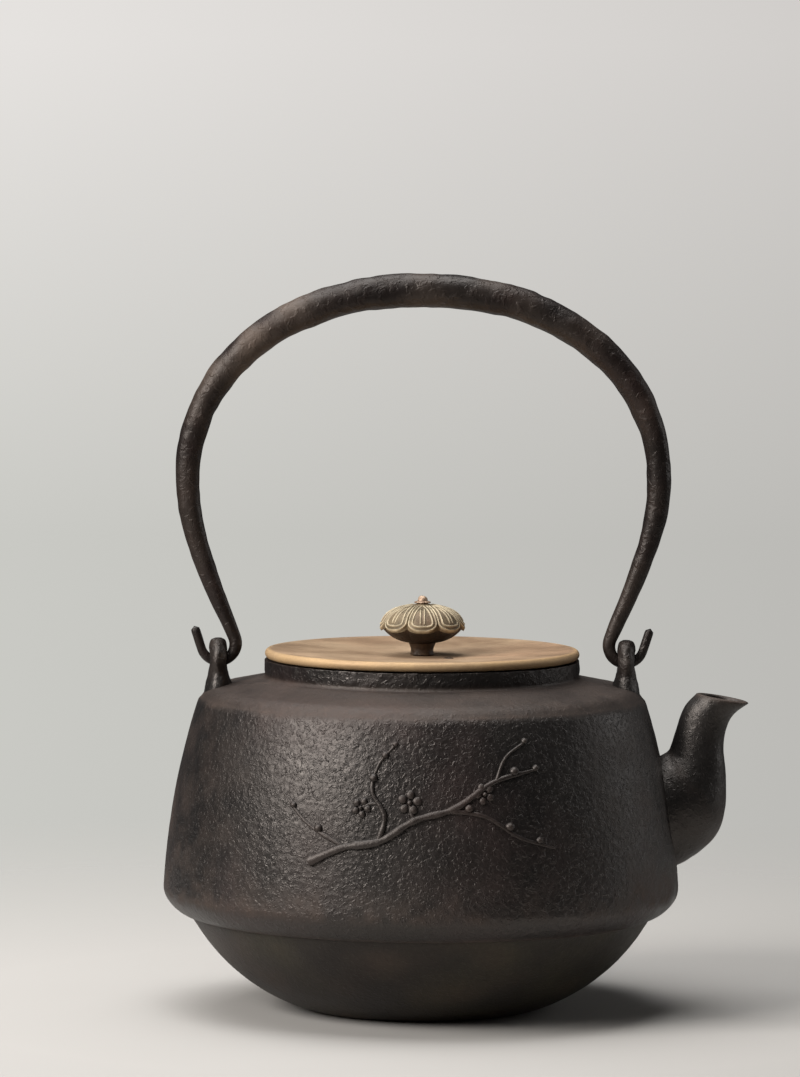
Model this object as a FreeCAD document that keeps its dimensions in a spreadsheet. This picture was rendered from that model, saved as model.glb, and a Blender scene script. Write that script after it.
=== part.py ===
import FreeCAD, Part
import math
import os
import re
from typing import NamedTuple

import Sketcher

# Iron kettle with a bail handle, a spout and a bronze lid, in millimetres.
# The origin is the centre of the flat foot, +Z is up and +X points along the spout.

# Driving dimensions: lengths in millimetres, leans in degrees, exponents without a unit.
SIZES = {
    # Bottom bowl
    "foot_radius": 37.5,
    "ring_radius": 76.0,
    "ring_height": 30.8,
    "bowl_bend": 62.0,
    # Upper shell
    "skirt_overhang": 9.2,
    "skirt_rise": 8.0,
    "skirt_round": 3.0,
    "lip_bend": 12.0,
    "side_rise": 66.7,
    "side_bend": 245.0,
    "shoulder_inset": 12.7,
    "shoulder_round": 10.0,
    "shoulder_rise": 4.1,
    "collar_inset": 20.3,
    "collar_rise": 5.7,
    "collar_wall": 6.2,
    "iron_wall": 3.0,
    "lap_depth": 7.0,
    "lap_gap": 0.05,
    # Spout stations: outward from the ring, upward from the skirt, lean of the axis, oval size
    "spout_wall": 2.4,
    "spout_root": 4.0,
    "root_out": 5.75,
    "root_height": 26.3,
    "root_lean": 8.6,
    "root_depth": 36.6,
    "root_width": 30.0,
    "belly_out": 13.3,
    "belly_height": 32.45,
    "belly_lean": 31.0,
    "belly_depth": 32.1,
    "belly_width": 27.0,
    "throat_out": 15.5,
    "throat_height": 44.5,
    "throat_lean": 61.0,
    "throat_depth": 20.6,
    "throat_width": 19.5,
    "neck_out": 15.6,
    "neck_height": 50.5,
    "neck_lean": 75.0,
    "neck_depth": 16.8,
    "neck_width": 17.0,
    "lip_out": 18.8,
    "lip_height": 60.0,
    "lip_lean": 80.0,
    "lip_depth": 16.6,
    "lip_width": 15.5,
    "mouth_out": 22.9,
    "mouth_height": 63.7,
    "mouth_lean": 80.4,
    "mouth_depth": 18.0,
    "mouth_width": 16.0,
    # Handle lugs
    "lug_inset": 5.3,
    "eye_rise": 8.95,
    "eye_radius": 3.0,
    "eye_flare": 1.2,
    "lug_root_drop": 14.0,
    "lug_root_thickness": 10.4,
    "lug_root_width": 17.0,
    "lug_foot_drop": 8.0,
    "lug_foot_thickness": 8.8,
    "lug_foot_width": 15.6,
    "lug_neck_drop": 4.5,
    "lug_neck_thickness": 6.6,
    "lug_neck_width": 13.4,
    "lug_head_thickness": 5.8,
    "lug_head_width": 14.2,
    "lug_brow_rise": 4.5,
    "lug_brow_thickness": 5.4,
    "lug_brow_width": 11.2,
    "lug_top_rise": 7.3,
    "lug_top_thickness": 3.0,
    "lug_top_width": 4.4,
    # Bail handle
    "handle_flare": 10.3,
    "handle_lift": 59.5,
    "handle_rise": 62.6,
    "handle_fullness": 2.12,
    "grip_radius": 5.95,
    "flank_radius": 4.27,
    "grip_taper": 1.15,
    "leg_taper": 1.4,
    "tube_drop": 24.0,
    "tube_wall": 1.2,
    "spigot_length": 5.0,
    "spigot_gap": 0.1,
    "hook_radius": 2.2,
    "hook_bend": 5.75,
    "hook_lean": 22.8,
    "eye_drop": 0.4,
    "tip_lean": 18.0,
    "tip_length": 7.0,
    "tip_radius": 1.45,
    "tip_round": 0.9,
    # Lid
    "lid_inset": 0.4,
    "lid_rim": 3.2,
    "lid_dish": 2.2,
    "lid_bend": 560.0,
    "lid_sheet": 2.2,
    "lid_boss_radius": 8.0,
    "lid_play": 0.4,
    "flange_wall": 2.0,
    "flange_depth": 6.0,
    "flange_land": 1.0,
    "vent_radius": 1.1,
    "vent_out": 8.5,
    "vent_front": 12.9,
    # Knob
    "rivet_radius": 1.2,
    "rivet_play": 0.05,
    "knob_gap": 0.1,
    "stem_radius": 4.1,
    "stem_flare": 0.5,
    "stem_rise": 4.2,
    "knob_radius": 14.3,
    "knob_base_rise": 4.9,
    "knob_dome_rise": 8.0,
    "knob_wall": 1.2,
    "notch_radius": 1.6,
    "notch_depth": 0.8,
    "washer_radius": 2.75,
    "washer_thickness": 0.7,
    "rivet_head_radius": 1.75,
    "rivet_head_rise": 1.8,
    "burr_radius": 4.5,
    "burr_thickness": 0.8,
    "peen_radius": 2.3,
    "peen_rise": 1.0,
}

PETALS = 8
OVAL_POINTS = 24
CROWN_STEPS = 10
LEG_STEPS = 4
SHANK_STEPS = 4
BEND_STEPS = 10
FULL_TURN = 360.0
HALF_TURN = 180.0
QUARTER_TURN = 90.0

# Heights and radii that follow from the driving dimensions
SKIRT_RADIUS = "(ring_radius + skirt_overhang)"
SKIRT_HEIGHT = "(ring_height + skirt_rise)"
LAP_SEAT = "(ring_height + lap_depth)"
SHOULDER_RADIUS = f"({SKIRT_RADIUS} - shoulder_inset)"
COLLAR_RADIUS = f"({SHOULDER_RADIUS} - collar_inset)"
SHOULDER_HEIGHT = f"({SKIRT_HEIGHT} + side_rise)"
COLLAR_BASE = f"({SHOULDER_HEIGHT} + shoulder_rise)"
LID_SEAT = f"({COLLAR_BASE} + collar_rise)"
MOUTH_RADIUS = f"({COLLAR_RADIUS} - collar_wall)"
LID_RADIUS = f"({COLLAR_RADIUS} - lid_inset)"
LID_TOP = f"({LID_SEAT} + lid_rim)"
LID_CENTRE = f"({LID_TOP} - lid_dish)"
LID_UNDERSIDE = f"({LID_CENTRE} - lid_sheet)"
FLANGE_RADIUS = f"({MOUTH_RADIUS} - lid_play)"
FLANGE_BORE = f"({FLANGE_RADIUS} - flange_wall)"
RIVET_HOLE = "(rivet_radius + rivet_play)"
STEM_FOOT = f"({LID_CENTRE} + knob_gap)"
STEM_HEAD = f"({STEM_FOOT} + stem_rise)"
STEM_HEAD_RADIUS = "(stem_radius + stem_flare)"
KNOB_SEAM = f"({STEM_HEAD} + knob_base_rise)"
KNOB_TOP = f"({KNOB_SEAM} + knob_dome_rise)"
WASHER_SEAT = f"({KNOB_TOP} + knob_gap)"
RIVET_SEAT = f"({WASHER_SEAT} + washer_thickness)"
BURR_SEAT = f"({LID_UNDERSIDE} - burr_thickness)"
LUG_OUT = f"({SHOULDER_RADIUS} - lug_inset)"
EYE_HEIGHT = f"({SHOULDER_HEIGHT} + eye_rise)"

# Which way an arc of a profile curves while the profile is followed
LEFT = 1
RIGHT = -1

doc = FreeCAD.newDocument("kettle")
sheet = doc.addObject("Spreadsheet::Sheet", "Sizes")
for row, (alias, number) in enumerate(SIZES.items(), start=1):
    sheet.set(f"A{row}", alias)
    sheet.set(f"B{row}", str(number))
    sheet.setAlias(f"B{row}", alias)
doc.recompute()


class Corner(NamedTuple):
    """One corner of a turned profile, with the bend of the edge that follows it."""

    radius: str
    height: str
    bend: str = ""
    turn: int = LEFT


class Station(NamedTuple):
    """One oval section of a lofted form, in the plane of the spout and the handle."""

    out: float
    height: float
    lean: float
    half_depth: float
    half_width: float


def bind(text):
    """Return an expression in which each size's name points at its cell."""
    return re.sub(r"[a-z]+(?:_[a-z]+)+", lambda found: "Sizes." + found.group(), text)


def size(text):
    """Return the present value of an expression of sizes."""
    return float(sheet.evalExpression(bind(text)))


def level_bend(run, rise):
    """Return the bend of an arc that is level at one end, from its run and its rise."""
    return f"((({run})^2 + ({rise})^2) / (2 * ({rise})))"


def vector(out, height):
    """Return a point of the plane of the spout and the handle."""
    return FreeCAD.Vector(out, 0, height)


def profile_edge(first, second, bend, turn):
    """Return a profile's edge between two sketch points, and the vertex each point gets."""
    if not bend:
        return Part.LineSegment(first, second), 1, 2
    chord = second - first
    reach = math.sqrt(bend**2 - (chord.Length / 2) ** 2)
    left = FreeCAD.Vector(-chord.y, chord.x, 0).normalize()
    centre = (first + second) / 2 + left * (reach * turn)
    circle = Part.Circle(centre, FreeCAD.Vector(0, 0, 1), bend)
    start = math.atan2(first.y - centre.y, first.x - centre.x)
    end = math.atan2(second.y - centre.y, second.x - centre.x)
    if turn == LEFT:
        return Part.ArcOfCircle(circle, start, end), 1, 2
    return Part.ArcOfCircle(circle, end, start), 2, 1


def hold_point(sketch, edge, vertex, kind, axis, text, name):
    """Hold one coordinate of a sketch vertex at an expression, or on the axis where it is zero."""
    if text == "0":
        sketch.addConstraint(Sketcher.Constraint("PointOnObject", edge, vertex, axis))
        return
    index = sketch.addConstraint(Sketcher.Constraint(kind, -1, 1, edge, vertex, size(text)))
    sketch.renameConstraint(index, name)
    sketch.setExpression("Constraints." + name, bind(text))


def turned(label, corners):
    """Return a body turned about Z from a closed profile of corners."""
    body = doc.addObject("PartDesign::Body", label)
    sketch = body.newObject("Sketcher::SketchObject", label + "_profile")
    plane = next(item for item in body.Origin.OriginFeatures if item.Role == "XZ_Plane")
    sketch.AttachmentSupport = [(plane, "")]
    sketch.MapMode = "FlatFace"
    points = [FreeCAD.Vector(size(corner.radius), size(corner.height), 0) for corner in corners]
    ends = []
    for index, corner in enumerate(corners):
        bend = size(corner.bend) if corner.bend else 0
        following = points[(index + 1) % len(points)]
        edge, first, last = profile_edge(points[index], following, bend, corner.turn)
        sketch.addGeometry(edge, False)
        ends.append((first, last))
    for index, (corner, (first, last)) in enumerate(zip(corners, ends)):
        following = (index + 1) % len(corners)
        sketch.addConstraint(Sketcher.Constraint("Coincident", index, last, following, ends[following][0]))
        hold_point(sketch, index, first, "DistanceX", -2, corner.radius, f"radius{index}")
        hold_point(sketch, index, first, "DistanceY", -1, corner.height, f"height{index}")
        if corner.bend:
            bend = sketch.addConstraint(Sketcher.Constraint("Radius", index, size(corner.bend)))
            sketch.renameConstraint(bend, f"bend{index}")
            sketch.setExpression(f"Constraints.bend{index}", bind(corner.bend))
    turn = body.newObject("PartDesign::Revolution", label + "_turn")
    turn.Profile = sketch
    turn.ReferenceAxis = (sketch, ["V_Axis"])
    turn.Angle = FULL_TURN
    body.Tip = turn
    body.recompute(True)
    return body


def round_ring(body, radius, height, fillet):
    """Round the circular edge of a turned body that lies at a radius and a height."""
    base = body.Tip
    names = []
    for number, edge in enumerate(base.Shape.Edges, start=1):
        if not isinstance(edge.Curve, Part.Circle):
            continue
        centre = edge.Curve.Center
        at_radius = math.isclose(edge.Curve.Radius, size(radius), abs_tol=1e-4)
        at_height = math.isclose(centre.z, size(height), abs_tol=1e-4)
        if at_radius and at_height:
            names.append(f"Edge{number}")
    feature = body.newObject("PartDesign::Fillet", f"{body.Name}_round")
    feature.Base = (base, names)
    feature.setExpression("Radius", bind(fillet))
    body.Tip = feature
    body.recompute(True)


def boolean(kind, label, base, tool):
    """Return a cut or fuse of two objects."""
    feature = doc.addObject("Part::" + kind, label)
    feature.Base = base
    feature.Tool = tool
    return feature


def place(feature, **expressions):
    """Bind the position of a primitive to expressions, one for each axis that is given."""
    for axis, text in expressions.items():
        feature.setExpression("Placement.Base." + axis, bind(text))


def oval(station):
    """Return the closed wire of a station, square to its leaning axis."""
    turn = FreeCAD.Rotation(FreeCAD.Vector(0, 1, 0), station.lean)
    placement = FreeCAD.Placement(vector(station.out, station.height), turn)
    if math.isclose(station.half_depth, station.half_width):
        circle = Part.makeCircle(station.half_depth)
        circle.Placement = placement
        return Part.Wire(circle)
    points = []
    for step in range(OVAL_POINTS + 1):
        angle = 2 * math.pi * step / OVAL_POINTS
        across = station.half_depth * math.cos(angle)
        along = station.half_width * math.sin(angle)
        points.append(placement.multVec(FreeCAD.Vector(across, along, 0)))
    start = FreeCAD.Vector(0, 1, 0)
    curve = Part.BSplineCurve()
    curve.interpolate(Points=points, InitialTangent=start, FinalTangent=start)
    return Part.Wire(curve.toShape())


def lofted(label, stations, straight):
    """Return a solid through ovals, with straight or smooth runs between them."""
    feature = doc.addObject("Part::Feature", label)
    feature.Shape = Part.makeLoft([oval(station) for station in stations], True, straight)
    return feature


def moved(station, distance):
    """Return a station moved along its own axis."""
    lean = math.radians(station.lean)
    out = station.out + distance * math.sin(lean)
    height = station.height + distance * math.cos(lean)
    return station._replace(out=out, height=height)


def thinned(station, wall):
    """Return a station drawn in by a wall all round."""
    half_depth = station.half_depth - wall
    half_width = station.half_width - wall
    return station._replace(half_depth=half_depth, half_width=half_width)


# Outer form of the upper shell, which also trims the lugs and the spout
def shell_outside(start):
    """Return the corners of the shell's outside, from the lip up to the collar's top."""
    return [
        Corner(start, "ring_height", "lip_bend"),
        Corner(SKIRT_RADIUS, SKIRT_HEIGHT, "side_bend"),
        Corner(SHOULDER_RADIUS, SHOULDER_HEIGHT),
        Corner(COLLAR_RADIUS, COLLAR_BASE),
        Corner(COLLAR_RADIUS, LID_SEAT),
    ]


def round_shell(body):
    """Round the skirt and the shoulder of a body that has the shell's outside."""
    round_ring(body, SKIRT_RADIUS, SKIRT_HEIGHT, "skirt_round")
    round_ring(body, SHOULDER_RADIUS, SHOULDER_HEIGHT, "shoulder_round")


outer_form = turned(
    "outer_form",
    [Corner("0", "ring_height")] + shell_outside("(ring_radius + lap_gap)") + [Corner("0", LID_SEAT)],
)
round_shell(outer_form)

shell_blank = turned(
    "shell_blank",
    shell_outside("(ring_radius + lap_gap)")
    + [
        Corner(MOUTH_RADIUS, LID_SEAT),
        Corner(MOUTH_RADIUS, f"{COLLAR_BASE} - iron_wall"),
        Corner(
            f"{SHOULDER_RADIUS} - iron_wall", f"{SHOULDER_HEIGHT} - iron_wall", "side_bend - iron_wall", RIGHT
        ),
        Corner(f"{SKIRT_RADIUS} - iron_wall", f"{LAP_SEAT} + iron_wall"),
        Corner("ring_radius - iron_wall", f"{LAP_SEAT} + iron_wall"),
        Corner("ring_radius - iron_wall", LAP_SEAT),
        Corner("ring_radius + lap_gap", LAP_SEAT),
    ],
)
round_shell(shell_blank)

# Bottom bowl, let into the skirt with a lap
bottom_bowl = turned(
    "bottom_bowl",
    [
        Corner("0", "0"),
        Corner("foot_radius", "0", "bowl_bend"),
        Corner("ring_radius", "ring_height"),
        Corner("ring_radius", LAP_SEAT),
        Corner("ring_radius - iron_wall", LAP_SEAT),
        Corner("ring_radius - iron_wall", "ring_height", "bowl_bend - iron_wall", RIGHT),
        Corner("foot_radius", "iron_wall"),
        Corner("0", "iron_wall"),
    ],
)


# Spout
def spout_station(name):
    """Return a named station of the spout; its lean is measured up from the outward direction."""
    return Station(
        size(f"ring_radius + {name}_out"),
        size(f"{SKIRT_HEIGHT} + {name}_height"),
        QUARTER_TURN - size(f"{name}_lean"),
        size(f"{name}_depth / 2"),
        size(f"{name}_width / 2"),
    )


spout_stations = [spout_station(name) for name in ("root", "belly", "throat", "neck", "lip", "mouth")]
spout_wall = size("spout_wall")
spout_inside = [thinned(station, spout_wall) for station in spout_stations]
spout_start = moved(spout_stations[0], -size("spout_root"))
bore_start = moved(spout_inside[0], -size("spout_root + spout_wall"))
bore_end = moved(spout_inside[-1], spout_wall)
spout_form = lofted("spout_form", [spout_start] + spout_stations, False)
spout_bore = lofted("spout_bore", [bore_start] + spout_inside + [bore_end], False)
spout_tube = boolean("Cut", "spout_tube", spout_form, spout_bore)
spout = boolean("Cut", "spout", spout_tube, outer_form)

# Round hole through the wall behind the spout
hole_start = moved(spout_stations[0], -size("2 * (iron_wall + spout_root)"))
spout_hole = doc.addObject("Part::Cylinder", "spout_hole")
spout_hole.setExpression("Radius", bind("root_width / 2 - spout_wall"))
spout_hole.setExpression("Height", bind("4 * (iron_wall + spout_root)"))
spout_hole.Placement = FreeCAD.Placement(
    vector(hole_start.out, hole_start.height), FreeCAD.Rotation(FreeCAD.Vector(0, 1, 0), hole_start.lean)
)
body_shell = boolean("Cut", "body_shell", shell_blank, spout_hole)


# Handle lugs
def lug_station(rise, name):
    """Return a level section of the lug at a height above its eye."""
    return Station(
        size(LUG_OUT),
        size(f"{EYE_HEIGHT} + {rise}"),
        0,
        size(f"lug_{name}_thickness / 2"),
        size(f"lug_{name}_width / 2"),
    )


lug_stations = [
    lug_station("0 - lug_root_drop", "root"),
    lug_station("0 - lug_foot_drop", "foot"),
    lug_station("0 - lug_neck_drop", "neck"),
    lug_station("0", "head"),
    lug_station("lug_brow_rise", "brow"),
    lug_station("lug_top_rise", "top"),
]
lug_form = lofted("lug_form", lug_stations, False)
lug_block = boolean("Cut", "lug_block", lug_form, outer_form)

ALONG_X = FreeCAD.Rotation(FreeCAD.Vector(0, 1, 0), QUARTER_TURN)
AGAINST_X = FreeCAD.Rotation(FreeCAD.Vector(0, 1, 0), -QUARTER_TURN)

eye_hole = doc.addObject("Part::Cylinder", "eye_hole")
eye_hole.Placement.Rotation = ALONG_X
eye_hole.setExpression("Radius", bind("eye_radius"))
eye_hole.setExpression("Height", bind("2 * lug_foot_thickness"))
place(eye_hole, x=f"{LUG_OUT} - lug_foot_thickness", z=EYE_HEIGHT)

lug_cut = boolean("Cut", "lug_cut", lug_block, eye_hole)
for side, turn, sign in (("outer", AGAINST_X, "+"), ("inner", ALONG_X, "-")):
    flare = doc.addObject("Part::Cone", f"eye_flare_{side}")
    flare.Placement.Rotation = turn
    flare.setExpression("Radius1", bind("eye_radius + 2 * eye_flare"))
    flare.setExpression("Radius2", bind("eye_radius"))
    flare.setExpression("Height", bind("2 * eye_flare"))
    place(flare, x=f"{LUG_OUT} {sign} (lug_head_thickness / 2 + eye_flare)", z=EYE_HEIGHT)
    lug_cut = boolean("Cut", f"lug_flared_{side}", lug_cut, flare)
lug_cut.Label = "lug_right"


def mirrored(label, source):
    """Return the twin of a right-hand piece on the left of the kettle."""
    twin = doc.addObject("Part::Mirroring", label)
    twin.Source = source
    twin.Normal = FreeCAD.Vector(1, 0, 0)
    return twin


lug_left = mirrored("lug_left", lug_cut)

# Bail handle: a hollow grip on two solid hooks
reach = size(f"{LUG_OUT} + handle_flare")
lift = size(f"{EYE_HEIGHT} + handle_lift")
rise = size("handle_rise")
fullness = 2 / size("handle_fullness")
grip_radius = size("grip_radius")
flank_radius = size("flank_radius")
hook_radius = size("hook_radius")
hook_bend = size("hook_bend")
hook_lean = size("hook_lean")
bend_out = size(LUG_OUT)
bend_height = size(f"{EYE_HEIGHT} + hook_bend - eye_drop")
hook_out = bend_out - hook_bend * math.cos(math.radians(hook_lean))
hook_height = bend_height + hook_bend * math.sin(math.radians(hook_lean))
leg_inset = reach - hook_out
leg_drop = lift - hook_height
leg_curve = 3 - math.tan(math.radians(hook_lean)) * leg_drop / leg_inset
tube_share = size("tube_drop") / leg_drop


def crown_station(turn):
    """Return a section of the crown, a full half ellipse, at an angle from the right-hand flank."""
    across = math.cos(turn)
    up = math.sin(turn)
    slope = (rise / reach) * (across / up) ** (2 - fullness) if up else math.inf
    lean = QUARTER_TURN + math.degrees(math.atan(slope))
    radius = flank_radius + (grip_radius - flank_radius) * up ** size("grip_taper")
    return Station(reach * across**fullness, lift + rise * up**fullness, lean, radius, radius)


def leg_station(share):
    """Return a section of the leg, a cubic curve from the flank down to the hook."""
    inset = leg_inset * (leg_curve * share**2 + (1 - leg_curve) * share**3)
    slope = leg_inset * (2 * leg_curve * share + 3 * (1 - leg_curve) * share**2) / leg_drop
    lean = HALF_TURN + math.degrees(math.atan(slope))
    radius = flank_radius - (flank_radius - hook_radius) * share ** size("leg_taper")
    return Station(reach - inset, lift - leg_drop * share, lean, radius, radius)


def left_twin(station):
    """Return the section on the left of the kettle that answers one on the right."""
    return station._replace(out=-station.out, lean=HALF_TURN - station.lean)


def handle_run(end_share):
    """Return the handle's sections from the left leg over the crown to the right leg."""
    crown = [crown_station(step / CROWN_STEPS * math.pi / 2) for step in range(CROWN_STEPS)]
    legs = [leg_station(end_share * step / LEG_STEPS) for step in range(1, LEG_STEPS + 1)]
    right = crown[::-1] + legs
    top = Station(0, lift + rise, QUARTER_TURN, grip_radius, grip_radius)
    return [left_twin(station) for station in right[::-1]] + [top] + right


tube_wall = size("tube_wall")
tube_bore = [thinned(station, tube_wall) for station in handle_run(tube_share)]
bore_first = moved(tube_bore[0], -tube_wall)
bore_last = moved(tube_bore[-1], tube_wall)
grip_form = lofted("grip_form", handle_run(tube_share), True)
grip_bore = lofted("grip_bore", [bore_first] + tube_bore + [bore_last], True)
handle_tube = boolean("Cut", "handle_tube", grip_form, grip_bore)


def bend_station(share):
    """Return a section of the hook's bend, round the eye from the leg to the tip."""
    first = HALF_TURN - hook_lean
    last = FULL_TURN - size("tip_lean")
    turn = first + (last - first) * share
    angle = math.radians(turn)
    radius = hook_radius + (size("tip_radius") - hook_radius) * share
    return Station(
        bend_out + hook_bend * math.cos(angle),
        bend_height + hook_bend * math.sin(angle),
        FULL_TURN - turn,
        radius,
        radius,
    )


shank = [leg_station(tube_share + (1 - tube_share) * step / SHANK_STEPS) for step in range(SHANK_STEPS)]
bend = [bend_station(step / BEND_STEPS) for step in range(BEND_STEPS + 1)]
tip = moved(bend[-1], size("tip_length"))
tip_end = thinned(moved(tip, size("tip_round")), size("tip_radius / 2"))
hook_form = lofted("hook_form", shank + bend + [tip, tip_end], True)

spigot_seat = shank[0]
spigot = doc.addObject("Part::Cylinder", "spigot")
spigot.Radius = spigot_seat.half_depth - tube_wall - size("spigot_gap")
spigot.setExpression("Height", bind("spigot_length"))
spigot.Placement = FreeCAD.Placement(
    vector(spigot_seat.out, spigot_seat.height),
    FreeCAD.Rotation(FreeCAD.Vector(0, 1, 0), spigot_seat.lean - HALF_TURN),
)
handle_hook_right = boolean("Fuse", "handle_hook_right", hook_form, spigot)
handle_hook_left = mirrored("handle_hook_left", handle_hook_right)

# Lid: a dished plate on a locating flange
lid_disc = turned(
    "lid_disc",
    [
        Corner(RIVET_HOLE, LID_UNDERSIDE),
        Corner("lid_boss_radius", LID_UNDERSIDE),
        Corner(f"{FLANGE_BORE} - flange_land", LID_SEAT),
        Corner(f"{LID_RADIUS} - lid_rim / 2", LID_SEAT, "lid_rim / 2"),
        Corner(LID_RADIUS, f"{LID_SEAT} + lid_rim / 2", "lid_rim / 2"),
        Corner(f"{LID_RADIUS} - lid_rim / 2", LID_TOP, "lid_bend", RIGHT),
        Corner(RIVET_HOLE, LID_CENTRE),
    ],
)
vent_drill = doc.addObject("Part::Cylinder", "vent_drill")
vent_drill.setExpression("Radius", bind("vent_radius"))
vent_drill.setExpression("Height", bind(f"{LID_TOP} - {BURR_SEAT}"))
place(vent_drill, x="vent_out", y="0 - vent_front", z=BURR_SEAT)
lid_plate = boolean("Cut", "lid_plate", lid_disc, vent_drill)

lid_flange = turned(
    "lid_flange",
    [
        Corner(FLANGE_BORE, f"{LID_SEAT} - flange_depth"),
        Corner(FLANGE_RADIUS, f"{LID_SEAT} - flange_depth"),
        Corner(FLANGE_RADIUS, LID_SEAT),
        Corner(FLANGE_BORE, LID_SEAT),
    ],
)

# Knob: a stem and two petalled shells that turn on a rivet
knob_stem = turned(
    "knob_stem",
    [
        Corner(RIVET_HOLE, STEM_FOOT),
        Corner("stem_radius", STEM_FOOT),
        Corner(STEM_HEAD_RADIUS, STEM_HEAD),
        Corner(RIVET_HOLE, STEM_HEAD),
    ],
)
seam_radius = "(knob_radius - 2 * knob_wall)"
base_bend = level_bend(f"knob_radius - {STEM_HEAD_RADIUS}", "knob_base_rise")
base_hollow = level_bend(f"{seam_radius} - {STEM_HEAD_RADIUS}", "knob_base_rise - knob_wall")
dome_bend = level_bend(f"knob_radius - {RIVET_HOLE}", "knob_dome_rise")
dome_hollow = level_bend(f"{seam_radius} - {RIVET_HOLE}", "knob_dome_rise - knob_wall")
lower_blank = turned(
    "lower_blank",
    [
        Corner(RIVET_HOLE, STEM_HEAD),
        Corner(STEM_HEAD_RADIUS, STEM_HEAD, base_bend),
        Corner("knob_radius", KNOB_SEAM),
        Corner(seam_radius, KNOB_SEAM, base_hollow, RIGHT),
        Corner(STEM_HEAD_RADIUS, f"{STEM_HEAD} + knob_wall"),
        Corner(RIVET_HOLE, f"{STEM_HEAD} + knob_wall"),
    ],
)
upper_blank = turned(
    "upper_blank",
    [
        Corner(seam_radius, KNOB_SEAM),
        Corner("knob_radius", KNOB_SEAM, dome_bend),
        Corner(RIVET_HOLE, KNOB_TOP),
        Corner(RIVET_HOLE, f"{KNOB_TOP} - knob_wall", dome_hollow, RIGHT),
    ],
)
notches = []
for petal in range(PETALS):
    angle = 2 * math.pi * (petal + 0.5) / PETALS
    notch = doc.addObject("Part::Cylinder", f"notch_{petal}")
    notch.setExpression("Radius", bind("notch_radius"))
    notch.setExpression("Height", bind("knob_base_rise + knob_dome_rise"))
    middle = "(knob_radius + notch_radius - notch_depth)"
    place(notch, x=f"{middle} * {math.cos(angle)}", y=f"{middle} * {math.sin(angle)}", z=STEM_HEAD)
    notches.append(notch)
petal_cutter = doc.addObject("Part::MultiFuse", "petal_cutter")
petal_cutter.Shapes = notches
knob_lower_shell = boolean("Cut", "knob_lower_shell", lower_blank, petal_cutter)
knob_upper_shell = boolean("Cut", "knob_upper_shell", upper_blank, petal_cutter)

knob_washer = turned(
    "knob_washer",
    [
        Corner(RIVET_HOLE, WASHER_SEAT),
        Corner("washer_radius", WASHER_SEAT),
        Corner("washer_radius", RIVET_SEAT),
        Corner(RIVET_HOLE, RIVET_SEAT),
    ],
)
knob_rivet = turned(
    "knob_rivet",
    [
        Corner("0", f"{BURR_SEAT} - peen_rise"),
        Corner("peen_radius", f"{BURR_SEAT} - peen_rise / 2"),
        Corner("peen_radius", BURR_SEAT),
        Corner("rivet_radius", BURR_SEAT),
        Corner("rivet_radius", RIVET_SEAT),
        Corner("rivet_head_radius", RIVET_SEAT),
        Corner("rivet_head_radius", f"{RIVET_SEAT} + rivet_head_rise / 2"),
        Corner("rivet_head_radius / 2", f"{RIVET_SEAT} + rivet_head_rise"),
        Corner("0", f"{RIVET_SEAT} + rivet_head_rise"),
    ],
)
rivet_washer = turned(
    "rivet_washer",
    [
        Corner(RIVET_HOLE, BURR_SEAT),
        Corner("burr_radius", BURR_SEAT),
        Corner("burr_radius", LID_UNDERSIDE),
        Corner(RIVET_HOLE, LID_UNDERSIDE),
    ],
)

doc.recompute()

SUBPARTS = [
    body_shell,
    bottom_bowl,
    spout,
    lug_left,
    lug_cut,
    handle_tube,
    handle_hook_left,
    handle_hook_right,
    lid_plate,
    lid_flange,
    knob_stem,
    knob_lower_shell,
    knob_upper_shell,
    knob_washer,
    knob_rivet,
    rivet_washer,
]

for item in doc.Objects:
    if "Invalid" in item.State or "Error" in item.State:
        raise RuntimeError(f"{item.Label} did not recompute: {item.State}")
for item in SUBPARTS:
    shape = item.Shape
    if shape.isNull() or not shape.isValid() or len(shape.Solids) != 1:
        raise RuntimeError(f"{item.Label} is not one valid solid")

os.makedirs("parts", exist_ok=True)
for item in SUBPARTS:
    item.Shape.exportStep(f"parts/{item.Label}.step")
    box = item.Shape.BoundBox
    print(
        f"{item.Label}: {item.Shape.Volume:.1f} mm3,"
        f" x {box.XMin:.2f} {box.XMax:.2f}, y {box.YMin:.2f} {box.YMax:.2f}, z {box.ZMin:.2f} {box.ZMax:.2f}"
    )
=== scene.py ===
"""The looks of an iron kettle with a bail handle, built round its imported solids.

Lengths in the shape code are millimetres in the shared frame; meshes are written in metres.
"""

import itertools
import logging
import math
from dataclasses import dataclass, field
from enum import Enum

import bpy
import numpy as np
from mathutils import Matrix, Vector


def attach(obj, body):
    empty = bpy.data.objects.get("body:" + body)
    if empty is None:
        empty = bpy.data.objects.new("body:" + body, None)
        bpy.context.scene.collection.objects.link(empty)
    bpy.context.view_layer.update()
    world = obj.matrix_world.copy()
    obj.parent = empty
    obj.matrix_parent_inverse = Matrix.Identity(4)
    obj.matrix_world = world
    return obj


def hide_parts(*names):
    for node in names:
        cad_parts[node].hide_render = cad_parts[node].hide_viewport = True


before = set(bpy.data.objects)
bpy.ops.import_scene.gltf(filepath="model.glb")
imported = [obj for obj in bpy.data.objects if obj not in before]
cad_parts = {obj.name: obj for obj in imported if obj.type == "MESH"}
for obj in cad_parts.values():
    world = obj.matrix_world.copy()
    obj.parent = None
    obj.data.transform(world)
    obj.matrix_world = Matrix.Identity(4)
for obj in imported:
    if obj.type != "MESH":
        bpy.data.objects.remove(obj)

log = logging.getLogger("kettle")

MILLIMETRE = 0.001
FULL_TURN = 2 * math.pi
SHARP_ANGLE = math.radians(50)
RUN_SAMPLES = 160
EASE_SAMPLES = 9
MOST_EASE = 0.49

# Tiny lengths that keep a direction or a division defined where a length is zero
HAIR = 1e-9
SPECK = 1e-12

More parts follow.
